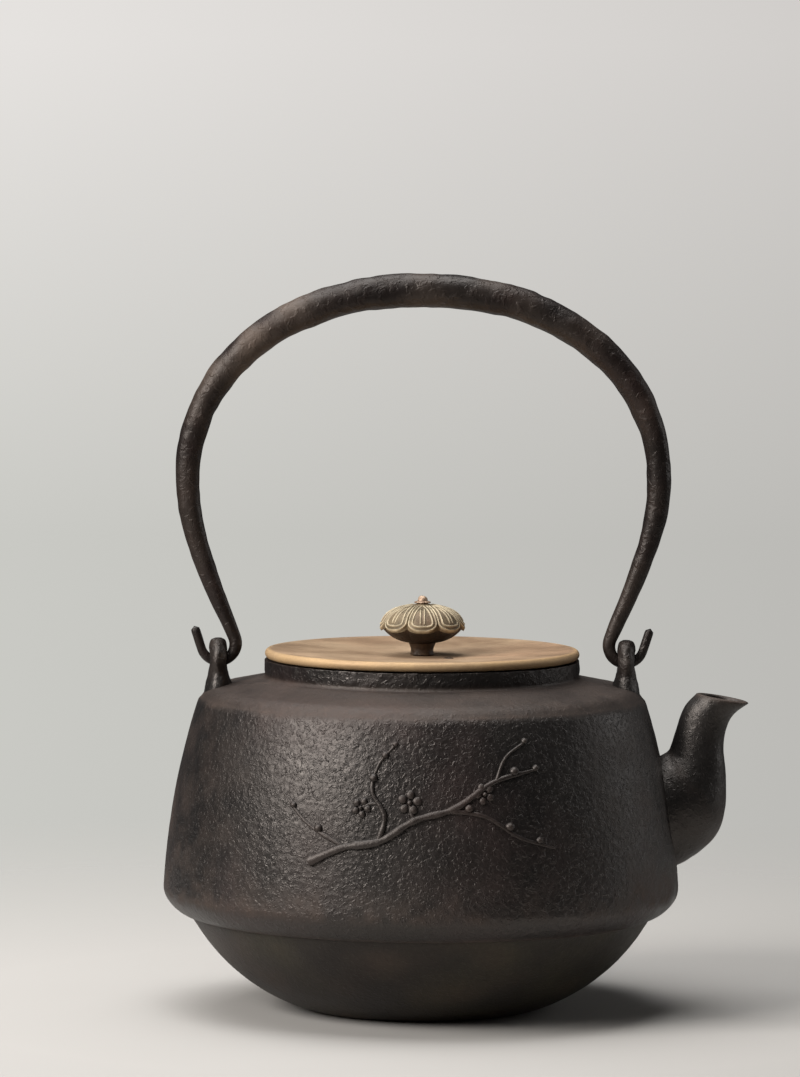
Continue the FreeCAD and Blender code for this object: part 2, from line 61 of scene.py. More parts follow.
Colour = tuple[float, float, float, float]
Layers = tuple[tuple[float, float], ...]


class Body(Enum):
    """The bodies that pieces ride on."""

    KETTLE = "kettle"
    HANDLE = "handle"
    LID = "lid"
    KNOB = "knob"


class Slot(Enum):
    """The record's material slots."""

    SHELL = "shell_iron"
    BOWL = "bowl_iron"
    HANDLE = "handle_iron"
    LID = "lid_bronze"
    PATINA = "knob_patina"
    DARK = "knob_dark"
    COPPER = "rivet_copper"


class Side(Enum):
    """The two sides of the kettle, as the sign of X."""

    LEFT = -1
    RIGHT = 1


def linear(red: int, green: int, blue: int) -> Colour:
    """Turn a display colour into the linear colour that shaders take, by the sRGB curve.

    Args:
        red: Red from 0 to 255.
        green: Green from 0 to 255.
        blue: Blue from 0 to 255.

    Returns:
        Linear red, green and blue with an alpha of one.
    """
    shares = np.array([red, green, blue]) / 255
    bent = np.where(shares <= 0.04045, shares / 12.92, ((shares + 0.055) / 1.055) ** 2.4)
    return (*(float(share) for share in bent), 1.0)


# Shape tools


def ring_angles(columns: int) -> np.ndarray:
    """Spread angles evenly round a turn."""
    return np.arange(columns) * FULL_TURN / columns


def rising(value: np.ndarray, start: float, width: float) -> np.ndarray:
    """Go from 0 at a start to 1 a width above it."""
    return np.clip((value - start) / width, 0, 1)


def falling(value: np.ndarray, end: float | np.ndarray, width: float) -> np.ndarray:
    """Go from 1 a width below an end to 0 at it."""
    return np.clip((end - value) / width, 0, 1)


def hump(value: np.ndarray, middle: float, width: float, power: int = 2) -> np.ndarray:
    """Rise to 1 at a middle and fall off on both sides: exp(-((v - m) / w)^p)."""
    return np.exp(-(((value - middle) / width) ** power))


def patches(noise: np.ndarray, gain: float, cut: float) -> np.ndarray:
    """Turn even noise into separate patches: g n - c, held between 0 and 1."""
    return np.clip(noise * gain - cut, 0, 1)


def narrowed(rows: np.ndarray, shrink: np.ndarray) -> np.ndarray:
    """Draw points in towards the Z axis by a share for each."""
    return rows * np.stack([shrink, shrink, np.ones_like(shrink)], axis=-1)


@dataclass
class Grain:
    """Smooth seeded noise on a repeating lattice of random values."""

    seed: int
    cells: int = 48
    values: np.ndarray = field(init=False, repr=False)

    def __post_init__(self) -> None:
        """Fill the lattice from the seed."""
        self.values = np.random.default_rng(self.seed).random((self.cells,) * 3)

    def at(self, points: np.ndarray, pitch: float) -> np.ndarray:
        """Sample the noise: lattice values blended by w = t * t * (3 - 2 * t) on each axis.

        Args:
            points: Points in millimetres, with the axes last.
            pitch: Size of one lattice cell in millimetres.

        Returns:
            Values from 0 to 1, one for each point.
        """
        scaled = points / pitch
        base = np.floor(scaled).astype(int)
        share = scaled - base
        share = share * share * (3 - 2 * share)
        total = np.zeros(points.shape[:-1])
        for corner in itertools.product((0, 1), repeat=3):
            index = (base + corner) % self.cells
            weight = np.prod(np.where(np.array(corner) == 1, share, 1 - share), axis=-1)
            total += weight * self.values[index[..., 0], index[..., 1], index[..., 2]]
        return total

    def layered(self, points: np.ndarray, layers: Layers) -> np.ndarray:
        """Add up noises, each given by its share and its pitch."""
        return sum(share * self.at(points, pitch) for share, pitch in layers)


@dataclass(frozen=True)
class Corner:
    """A corner of a turned profile and the run that follows it.

    A positive bend curves the run to the left, a negative one to the right.
    """

    radius: float
    height: float
    bend: float = 0.0
    ease: float = 0.0
    pitch: float = 1.0


def run_points(first: Corner, second: Corner) -> np.ndarray:
    """Sample the straight or bent run between two corners.

    Args:
        first: The corner that holds the run's bend.
        second: The corner where the run ends.

    Returns:
        Points (radius, height) along the run.
    """
    start = np.array([first.radius, first.height])
    end = np.array([second.radius, second.height])
    share = np.linspace(0, 1, RUN_SAMPLES)[:, None]
    if not first.bend:
        return start + (end - start) * share
    chord = end - start
    length = np.linalg.norm(chord)
    left = np.array([-chord[1], chord[0]]) / length
    radius = abs(first.bend)
    turn = math.copysign(1, first.bend)
    centre = (start + end) / 2 + left * turn * math.sqrt(max(radius**2 - length**2 / 4, 0))
    half = math.asin(min(length / 2 / radius, 1)) * turn
    middle = math.atan2(*((start + end) / 2 - centre - left * turn * HAIR)[::-1])
    angle = middle - half + 2 * half * share
    return centre + radius * np.concatenate([np.cos(angle), np.sin(angle)], axis=1)


def resampled(points: np.ndarray, spacing: np.ndarray) -> np.ndarray:
    """Read a polyline at given distances along it.

    Args:
        points: The polyline's points.
        spacing: Distances from its start.

    Returns:
        One point for each distance.
    """
    steps = np.linalg.norm(np.diff(points, axis=0), axis=1)
    along = np.concatenate([[0], np.cumsum(steps)])
    return np.stack([np.interp(spacing, along, column) for column in points.T], axis=1)


def polyline_length(points: np.ndarray) -> float:
    """Measure a polyline by adding up its steps."""
    return float(np.linalg.norm(np.diff(points, axis=0), axis=1).sum())


def profile(corners: list[Corner], closed: bool) -> np.ndarray:
    """Sample a profile, with each eased corner rounded by a quadratic curve.

    The curve between the trimmed ends a and c of the runs at corner b is
    (1 - t)^2 a + 2 t (1 - t) b + t^2 c.

    Args:
        corners: The profile's corners in order.
        closed: True if the last corner runs back to the first.

    Returns:
        Points (radius, height) in order, each once.
    """
    count = len(corners) if closed else len(corners) - 1
    pieces = []
    for index in range(count):
        first = corners[index]
        second = corners[(index + 1) % len(corners)]
        dense = run_points(first, second)
        length = polyline_length(dense)
        start = min(first.ease, length * MOST_EASE) if closed or index else 0.0
        trim = min(second.ease, length * MOST_EASE) if closed or index < count - 1 else 0.0
        stop = length - trim
        steps = max(int((stop - start) / first.pitch), 1) + 1
        pieces.append(resampled(dense, np.linspace(start, stop, steps)))
    rows = []
    for index, piece in enumerate(pieces):
        following = pieces[(index + 1) % len(pieces)]
        corner = corners[(index + 1) % len(corners)]
        last = index == count - 1 and not closed
        if last:
            rows.append(piece)
            continue
        if not corner.ease:
            rows.append(piece[:-1])
            continue
        share = np.linspace(0, 1, EASE_SAMPLES)[1:-1, None]
        middle = np.array([corner.radius, corner.height])
        eased = (1 - share) ** 2 * piece[-1] + 2 * share * (1 - share) * middle + share**2 * following[0]
        rows.append(np.concatenate([piece, eased]))
    return np.concatenate(rows)


def smoothed(controls: np.ndarray, count: int) -> np.ndarray:
    """Draw a smooth curve through control rows with cubic pieces that share their slopes.

    Each piece is h00 p + h10 d m + h01 q + h11 d n, the cubic Hermite form, where d is the
    distance between its rows and the slopes m and n come from the rows on either side.

    Args:
        controls: Control rows, one for each station.
        count: How many rows to return.

    Returns:
        Rows evenly spread along the curve.
    """
    steps = np.linalg.norm(np.diff(controls, axis=0), axis=1)
    knots = np.concatenate([[0], np.cumsum(steps)])
    slopes = np.gradient(controls, knots, axis=0)
    place = np.linspace(0, knots[-1], count)
    index = np.clip(np.searchsorted(knots, place, side="right") - 1, 0, len(controls) - 2)
    gap = steps[index][:, None]
    t = (place - knots[index])[:, None] / gap
    first = controls[index] * (2 * t**3 - 3 * t**2 + 1) + gap * slopes[index] * (t**3 - 2 * t**2 + t)
    second = controls[index + 1] * (3 * t**2 - 2 * t**3) + gap * slopes[index + 1] * (t**3 - t**2)
    return first + second


@dataclass
class Skin:
    """Points in millimetres with quads, triangles and one value per point for each field."""

    points: np.ndarray
    quads: np.ndarray
    triangles: np.ndarray
    fields: dict[str, np.ndarray]

    @staticmethod
    def loft(rows: np.ndarray, wrap: bool, fields: dict[str, np.ndarray | float]) -> "Skin":
        """Join rows of points, each a closed ring, into a closed skin.

        Args:
            rows: Points by row and column.
            wrap: True if the last row joins the first; otherwise both ends get a pole.
            fields: Values by row and column, or one value for all.

        Returns:
            The skin, with its faces turned outward.
        """
        count, ring = rows.shape[:2]
        index = np.arange(count * ring).reshape(count, ring)
        below = index if wrap else index[:-1]
        above = np.roll(index, -1, axis=0) if wrap else index[1:]
        corners = [below, np.roll(below, -1, axis=1), np.roll(above, -1, axis=1), above]
        quads = np.stack(corners, axis=-1).reshape(-1, 4)
        points = rows.reshape(-1, 3)
        values = {name: np.broadcast_to(value, rows.shape[:2]).ravel() for name, value in fields.items()}
        triangles = np.zeros((0, 3), dtype=int)
        if not wrap:
            first = np.full(ring, len(points))
            last = first + 1
            start = np.stack([first, np.roll(index[0], -1), index[0]], axis=1)
            end = np.stack([last, index[-1], np.roll(index[-1], -1)], axis=1)
            triangles = np.concatenate([start, end])
            points = np.concatenate([points, rows[:1].mean(axis=1), rows[-1:].mean(axis=1)])
            for name, value in values.items():
                values[name] = np.concatenate([value, value[:1], value[-1:]])
        skin = Skin(points, quads, triangles, values)
        return skin if skin.volume() > 0 else skin.flipped()

    @staticmethod
    def union(skins: list["Skin"]) -> "Skin":
        """Gather several skins into one.

        Args:
            skins: Skins with the same fields.

        Returns:
            One skin that holds them all.
        """
        starts = np.cumsum([0] + [len(skin.points) for skin in skins[:-1]])
        return Skin(
            np.concatenate([skin.points for skin in skins]),
            np.concatenate([skin.quads + start for skin, start in zip(skins, starts)]),
            np.concatenate([skin.triangles + start for skin, start in zip(skins, starts)]),
            {name: np.concatenate([skin.fields[name] for skin in skins]) for name in skins[0].fields},
        )

    def volume(self) -> float:
        """Measure the signed volume as the sum of p . (q x r) / 6 over the triangles.

        Returns:
            A volume that is positive if the faces look outward.
        """
        halves = [self.quads[:, [0, 1, 2]], self.quads[:, [0, 2, 3]], self.triangles]
        corners = self.points[np.concatenate(halves)]
        return float(np.einsum("ij,ij->", corners[:, 0], np.cross(corners[:, 1], corners[:, 2])) / 6)

    def flipped(self) -> "Skin":
        """Return the same skin with its faces looking the other way."""
        return Skin(self.points, self.quads[:, ::-1], self.triangles[:, ::-1], self.fields)

    def mirrored(self) -> "Skin":
        """Return the skin's twin, mirrored in the plane X = 0."""
        return Skin(self.points * (-1, 1, 1), self.quads[:, ::-1], self.triangles[:, ::-1], self.fields)

    def thing(self, name: str) -> bpy.types.Object:
        """Write the skin as an object at the origin.

        Args:
            name: The object's name.

        Returns:
            The new object.
        """
        mesh = bpy.data.meshes.new(name)
        loops = np.concatenate([self.quads.ravel(), self.triangles.ravel()])
        sizes = np.concatenate([np.full(len(self.quads), 4), np.full(len(self.triangles), 3)])
        mesh.vertices.add(len(self.points))
        mesh.vertices.foreach_set("co", (self.points * MILLIMETRE).astype(np.float32).ravel())
        mesh.loops.add(len(loops))
        mesh.loops.foreach_set("vertex_index", loops.astype(np.int32))
        mesh.polygons.add(len(sizes))
        mesh.polygons.foreach_set("loop_start", (np.cumsum(sizes) - sizes).astype(np.int32))
        mesh.update(calc_edges=True)
        mesh.validate()
        for label, value in self.fields.items():
            attribute = mesh.attributes.new(label, "FLOAT", "POINT")
            attribute.data.foreach_set("value", value.astype(np.float32))
        mesh.shade_smooth()
        mesh.set_sharp_from_angle(angle=SHARP_ANGLE)
        thing = bpy.data.objects.new(name, mesh)
        bpy.context.scene.collection.objects.link(thing)
        return thing


def carve(thing: bpy.types.Object, tool: Skin) -> None:
    """Cut a tool's volume out of an object's mesh.

    Args:
        thing: The object to cut.
        tool: The closed skin to take away.
    """
    cutter = tool.thing(thing.name + "_cutter")
    step = thing.modifiers.new("carve", "BOOLEAN")
    step.operation = "DIFFERENCE"
    step.solver = "EXACT"
    step.object = cutter
    graph = bpy.context.evaluated_depsgraph_get()
    whole = thing.data
    thing.data = bpy.data.meshes.new_from_object(
        thing.evaluated_get(graph), preserve_all_data_layers=True, depsgraph=graph
    )
    thing.modifiers.remove(step)
    bpy.data.meshes.remove(whole)
    shape = cutter.data
    bpy.data.objects.remove(cutter)
    bpy.data.meshes.remove(shape)


def revolve(outline: np.ndarray, columns: int, lift: np.ndarray | None = None) -> np.ndarray:
    """Turn a profile about Z: (r cos a, r sin a, z), with the points moved along the normal.

    Args:
        outline: Points (radius, height).
        columns: How many points go round.
        lift: Distances along the outward normal by row and column.

    Returns:
        Points by row and column.
    """
    angle = ring_angles(columns)
    radius = np.repeat(outline[:, :1], columns, axis=1)
    height = np.repeat(outline[:, 1:], columns, axis=1)
    if lift is not None:
        tangent = np.gradient(outline, axis=0)
        tangent /= np.linalg.norm(tangent, axis=1, keepdims=True) + SPECK
        radius = radius + lift * tangent[:, 1:]
        height = height - lift * tangent[:, :1]
    return np.stack([radius * np.cos(angle), radius * np.sin(angle), height], axis=-1)


def drum(start: np.ndarray, end: np.ndarray, radius: float, columns: int = 48) -> Skin:
    """Make a plain cylinder between two points.

    Args:
        start: Centre of one end.
        end: Centre of the other end.
        radius: The cylinder's radius.
        columns: How many points go round.

    Returns:
        The closed cylinder.
    """
    axis = (end - start) / np.linalg.norm(end - start)
    side = np.cross(axis, (0, 1, 0) if abs(axis[1]) < 0.9 else (1, 0, 0))
    side /= np.linalg.norm(side)
    other = np.cross(axis, side)
    angle = ring_angles(columns)[:, None]
    ring = radius * (np.cos(angle) * side + np.sin(angle) * other)
    return Skin.loft(np.stack([start + ring, end + ring]), False, {})


# Finishes


@dataclass
class Graph:
    """A short way to write a shader tree."""

    tree: bpy.types.NodeTree

    @staticmethod
    def fresh(owner: bpy.types.Material | bpy.types.World) -> "Graph":
        """Empty the shader tree of a material or a world.

        Args:
            owner: The material or the world.

        Returns:
            The graph of its empty tree.
        """
        owner.use_nodes = True
        owner.node_tree.nodes.clear()
        return Graph(owner.node_tree)

    def node(
        self, kind: str, sockets: dict[str | int, object] | None = None, **settings: object
    ) -> bpy.types.Node:
        """Add a node.

        Args:
            kind: The node's type name.
            sockets: Values for its input sockets, by name or number.
            settings: Values for its own properties.

        Returns:
            The new node.
        """
        made = self.tree.nodes.new(kind)
        for name, value in settings.items():
            setattr(made, name, value)
        for name, value in (sockets or {}).items():
            self.feed(made.inputs[name], value)
        return made

    def feed(self, socket: bpy.types.NodeSocket, value: object) -> None:
        """Set an input socket from a number, a colour or another node's output.

        Args:
            socket: The input socket.
            value: What it takes.
        """
        if isinstance(value, bpy.types.NodeSocket):
            self.tree.links.new(value, socket)
        else:
            socket.default_value = value

    def sum(self, operation: str, first: object, second: object, clamp: bool = False) -> bpy.types.NodeSocket:
        """Add a sum of two values or sockets, held between 0 and 1 if clamped."""
        sockets = {0: first, 1: second}
        return self.node("ShaderNodeMath", sockets, operation=operation, use_clamp=clamp).outputs[0]

    def blend(self, share: object, first: object, second: object) -> bpy.types.NodeSocket:
        """Mix two colours or sockets; the share is how much of the second shows."""
        return self.node("ShaderNodeMix", {0: share, 6: first, 7: second}, data_type="RGBA").outputs[2]

    def mixed(self, share: object, first: bpy.types.Node, second: bpy.types.Node) -> bpy.types.NodeSocket:
        """Mix two shaders; the share is how much of the second shows."""
        sockets = {0: share, 1: first.outputs[0], 2: second.outputs[0]}
        return self.node("ShaderNodeMixShader", sockets).outputs[0]

    def spread(
        self, value: object, low: float, high: float, floor: float = 0.0, top: float = 1.0
    ) -> bpy.types.NodeSocket:
        """Stretch a value from the span low to high onto floor to top, held inside it."""
        sockets = {"Value": value, "From Min": low, "From Max": high, "To Min": floor, "To Max": top}
        return self.node("ShaderNodeMapRange", sockets).outputs["Result"]


class Effects:
    """Shader groups that several finishes share."""

    GRAIN = "casting_grain"
    BLOTCH = "tone_blotch"
    NUMBER = "NodeSocketFloat"
    COLOUR = "NodeSocketColor"

    @staticmethod
    def group(
        name: str, inputs: dict[str, str], outputs: dict[str, str]
    ) -> tuple[Graph, dict[str, bpy.types.NodeSocket], bpy.types.Node]:
        """Start a shader group.

        Args:
            name: The group's name.
            inputs: Socket types by input name.
            outputs: Socket types by output name.

        Returns:
            The group's graph, its inputs by name and its output node.
        """
        tree = bpy.data.node_groups.new(name, "ShaderNodeTree")
        for label, kind in inputs.items():
            tree.interface.new_socket(name=label, in_out="INPUT", socket_type=kind)
        for label, kind in outputs.items():
            tree.interface.new_socket(name=label, in_out="OUTPUT", socket_type=kind)
        graph = Graph(tree)
        source = graph.node("NodeGroupInput")
        return graph, {label: source.outputs[label] for label in inputs}, graph.node("NodeGroupOutput")

    @classmethod
    def grain(cls) -> bpy.types.NodeTree:
        """Make the skin of short wrinkles and pits that a sand mould leaves.

        Returns:
            A group with a bent normal and the height that bends it.
        """
        found = bpy.data.node_groups.get(cls.GRAIN)
        if found:
            return found
        inputs = {"Scale": cls.NUMBER, "Depth": cls.NUMBER, "Strength": cls.NUMBER}
        outputs = {"Normal": "NodeSocketVector", "Height": cls.NUMBER}
        graph, given, output = cls.group(cls.GRAIN, inputs, outputs)
        place = graph.node("ShaderNodeTexCoord").outputs["Object"]
        wrinkle_sockets = {"Vector": place, "Scale": given["Scale"], "Detail": 1.8, "Distortion": 0.7}
        wrinkles = graph.node("ShaderNodeTexNoise", wrinkle_sockets).outputs[0]
        fold = graph.sum("ABSOLUTE", graph.sum("SUBTRACT", wrinkles, 0.5), 0.0)
        pit_scale = graph.sum("MULTIPLY", given["Scale"], 0.62)
        pit_sockets = {"Vector": place, "Scale": pit_scale, "Smoothness": 0.6, "Randomness": 1.0}
        pits = graph.node("ShaderNodeTexVoronoi", pit_sockets, feature="SMOOTH_F1").outputs["Distance"]
        creases = graph.sum("ADD", graph.sum("MULTIPLY", fold, 1.3), graph.sum("MULTIPLY", wrinkles, 0.8))
        height = graph.sum("ADD", creases, graph.sum("MULTIPLY", pits, 0.55))
        bump_sockets = {"Strength": given["Strength"], "Distance": given["Depth"], "Height": height}
        bump = graph.node("ShaderNodeBump", bump_sockets)
        graph.feed(output.inputs["Normal"], bump.outputs["Normal"])
        graph.feed(output.inputs["Height"], height)
        return graph.tree

    @classmethod
    def blotch(cls) -> bpy.types.NodeTree:
        """Make the cloudy change of tone of an old surface.

        Returns:
            A group with a mixed colour and its mask.
        """
        found = bpy.data.node_groups.get(cls.BLOTCH)
        if found:
            return found
        inputs = {"Dark": cls.COLOUR, "Light": cls.COLOUR, "Tint": cls.COLOUR, "Scale": cls.NUMBER}
        graph, given, output = cls.group(cls.BLOTCH, inputs, {"Color": cls.COLOUR, "Mask": cls.NUMBER})
        place = graph.node("ShaderNodeTexCoord").outputs["Object"]
        cloud_sockets = {"Vector": place, "Scale": given["Scale"], "Detail": 5.0, "Roughness": 0.62}
        clouds = graph.node("ShaderNodeTexNoise", cloud_sockets).outputs[0]
        mask = graph.spread(clouds, 0.34, 0.68)
        broad_scale = graph.sum("MULTIPLY", given["Scale"], 0.45)
        broad_sockets = {"Vector": place, "Scale": broad_scale, "Detail": 3.0, "Roughness": 0.5}
        broad = graph.node("ShaderNodeTexNoise", broad_sockets).outputs[0]
        tinted = graph.blend(graph.spread(broad, 0.44, 0.64), given["Light"], given["Tint"])
        graph.feed(output.inputs["Color"], graph.blend(mask, given["Dark"], tinted))
        graph.feed(output.inputs["Mask"], mask)
        return graph.tree


@dataclass(frozen=True)
class Finish:
    """A metal finish: three clouded tones, a fourth where the piece is worn and where a highlight is painted,
    and a grain.
    """

    name: str
    slot: Slot
    dark: Colour
    light: Colour
    tint: Colour
    worn: Colour
    roughness: tuple[float, float]
    metallic: float
    specular: float
    blotch_scale: float
    grain_scale: float
    grain_depth: float
    speckle: float
    dulling: float = 0.15
    glance: Colour = linear(255, 244, 236)

    def material(self) -> bpy.types.Material:
        """Write the finish as a material, once.

        Returns:
            The material.
        """
        found = bpy.data.materials.get(self.name)
        if found:
            return found
        made = bpy.data.materials.new(self.name)
        graph = Graph.fresh(made)
        tones = {"Dark": self.dark, "Light": self.light, "Tint": self.tint, "Scale": self.blotch_scale}
        tone = graph.node("ShaderNodeGroup", tones, node_tree=Effects.blotch())
        mask = tone.outputs["Mask"]
        skin = graph.node("ShaderNodeAttribute", attribute_name="skin").outputs["Fac"]
        wear = graph.node("ShaderNodeAttribute", attribute_name="wear").outputs["Fac"]
        grains = {"Scale": self.grain_scale, "Depth": self.grain_depth, "Strength": skin}
        grain = graph.node("ShaderNodeGroup", grains, node_tree=Effects.grain())
        broken = graph.sum("MULTIPLY", wear, graph.spread(mask, 0.0, 1.0, 0.7, 1.0), clamp=True)
        # The worn tone also carries the painted highlight on the grip's upper left and the painted sheen on
        # the shell's flanks.
        colour = graph.blend(broken, tone.outputs["Color"], self.worn)
        speck = graph.spread(grain.outputs["Height"], 0.35, 1.2, 1.0 - self.speckle, 1.0 + self.speckle)
        speckled = graph.node("ShaderNodeVectorMath", {0: colour, 1: speck}, operation="MULTIPLY")
        gloss = graph.spread(mask, 0.0, 1.0, *self.roughness)
        sockets = {
            "Base Color": speckled.outputs[0],
            "Metallic": self.metallic,
            "Specular IOR Level": self.specular,
            "Specular Tint": self.glance,
            "Roughness": graph.sum("ADD", gloss, graph.sum("MULTIPLY", wear, self.dulling), clamp=True),
            "Normal": grain.outputs["Normal"],
        }
        shader = graph.node("ShaderNodeBsdfPrincipled", sockets)
        graph.node("ShaderNodeOutputMaterial", {"Surface": shader.outputs[0]})
        return made


SHELL_IRON = Finish(
    name="shell_skin",
    slot=Slot.SHELL,
    dark=linear(13, 12, 13),
    light=linear(24, 22, 21),
    tint=linear(40, 29, 28),
    # Also the tone of the painted sheen on the shell's flanks.
    worn=linear(80, 62, 51),
    roughness=(0.38, 0.5),
    metallic=0.0,
    specular=0.72,
    blotch_scale=38.0,
    grain_scale=820.0,
    grain_depth=0.0003,
    speckle=0.34,
    dulling=0.5,
)
BOWL_IRON = Finish(
    name="bowl_skin",
    slot=Slot.BOWL,
    dark=linear(30, 27, 26),
    light=linear(46, 42, 38),
    tint=linear(53, 50, 40),
    worn=linear(96, 78, 64),
    roughness=(0.5, 0.62),
    metallic=0.0,
    specular=0.4,
    blotch_scale=30.0,
    grain_scale=900.0,
    grain_depth=0.0003,
    speckle=0.2,
)
HANDLE_IRON = Finish(
    name="handle_skin",
    slot=Slot.HANDLE,
    dark=linear(12, 8, 8),
    light=linear(25, 18, 16),
    tint=linear(38, 24, 20),
    # Also the tone of the painted highlight on the grip's upper left.
    worn=linear(112, 97, 86),
    roughness=(0.4, 0.54),
    metallic=0.0,
    specular=0.5,
    blotch_scale=60.0,
    grain_scale=480.0,
    grain_depth=0.0004,
    speckle=0.2,
)
LID_BRONZE = Finish(
    name="lid_skin",
    slot=Slot.LID,
    dark=linear(152, 124, 98),
    light=linear(196, 169, 138),
    tint=linear(186, 152, 122),
    worn=linear(206, 172, 122),
    roughness=(0.42, 0.58),
    metallic=0.25,
    specular=0.5,
    blotch_scale=48.0,
    grain_scale=1500.0,
    grain_depth=0.00012,
    speckle=0.08,
)
KNOB_PATINA = Finish(
    name="petal_skin",
    slot=Slot.PATINA,
    dark=linear(96, 85, 66),
    light=linear(138, 122, 97),
    tint=linear(126, 106, 86),
    worn=linear(222, 207, 176),
    roughness=(0.5, 0.62),
    metallic=0.1,
    specular=0.4,
    blotch_scale=220.0,
    grain_scale=1800.0,
    grain_depth=0.00012,
    speckle=0.12,
)
KNOB_DARK = Finish(
    name="knob_skin",
    slot=Slot.DARK,
    dark=linear(20, 13, 10),
    light=linear(37, 25, 18),
    tint=linear(46, 28, 18),
    worn=linear(120, 96, 72),
    roughness=(0.4, 0.55),
    metallic=0.1,
    specular=0.5,
    blotch_scale=160.0,
    grain_scale=1200.0,
    grain_depth=0.0002,
    speckle=0.15,
)
RIVET_COPPER = Finish(
    name="rivet_skin",
    slot=Slot.COPPER,
    dark=linear(132, 104, 84),
    light=linear(182, 152, 128),
    tint=linear(170, 134, 108),
    worn=linear(222, 200, 174),
    roughness=(0.36, 0.5),
    metallic=0.35,
    specular=0.5,
    blotch_scale=420.0,
    grain_scale=1500.0,
    grain_depth=0.0002,
    speckle=0.12,
)


@dataclass
class Piece:
    """A finished piece with its place in the assembly."""

    thing: bpy.types.Object
    body: Body
    finish: Finish
    nodes: tuple[str, ...] = ()

    def dress(self) -> None:
        """Give the piece its material, its body and the solids that it stands for."""
        self.thing.data.materials.clear()
        self.thing.data.materials.append(self.finish.material())
        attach(self.thing, self.body.value)
        if self.nodes:
            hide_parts(*self.nodes)
        log.info("%s: %d faces on %s", self.thing.name, len(self.thing.data.polygons), self.body.value)


@dataclass
class Assembly:
    """Pieces that are built and dressed together."""

    pieces: list[Piece] = field(default_factory=list, init=False)

    def add(self, skin: Skin, name: str, body: Body, finish: Finish, *nodes: str) -> bpy.types.Object:
        """Write a skin as a piece.

        Args:
            skin: The piece's skin.
            name: The piece's name.
            body: The body that it rides on.
            finish: Its finish.
            nodes: The solids that it stands for.

        Returns:
            The piece's object.
        """
        thing = skin.thing(name)
        self.pieces.append(Piece(thing, body, finish, nodes))
        return thing

    def dress(self) -> None:
        """Dress every piece."""
        for piece in self.pieces:
            piece.dress()


# The upper shell and what is cast with it


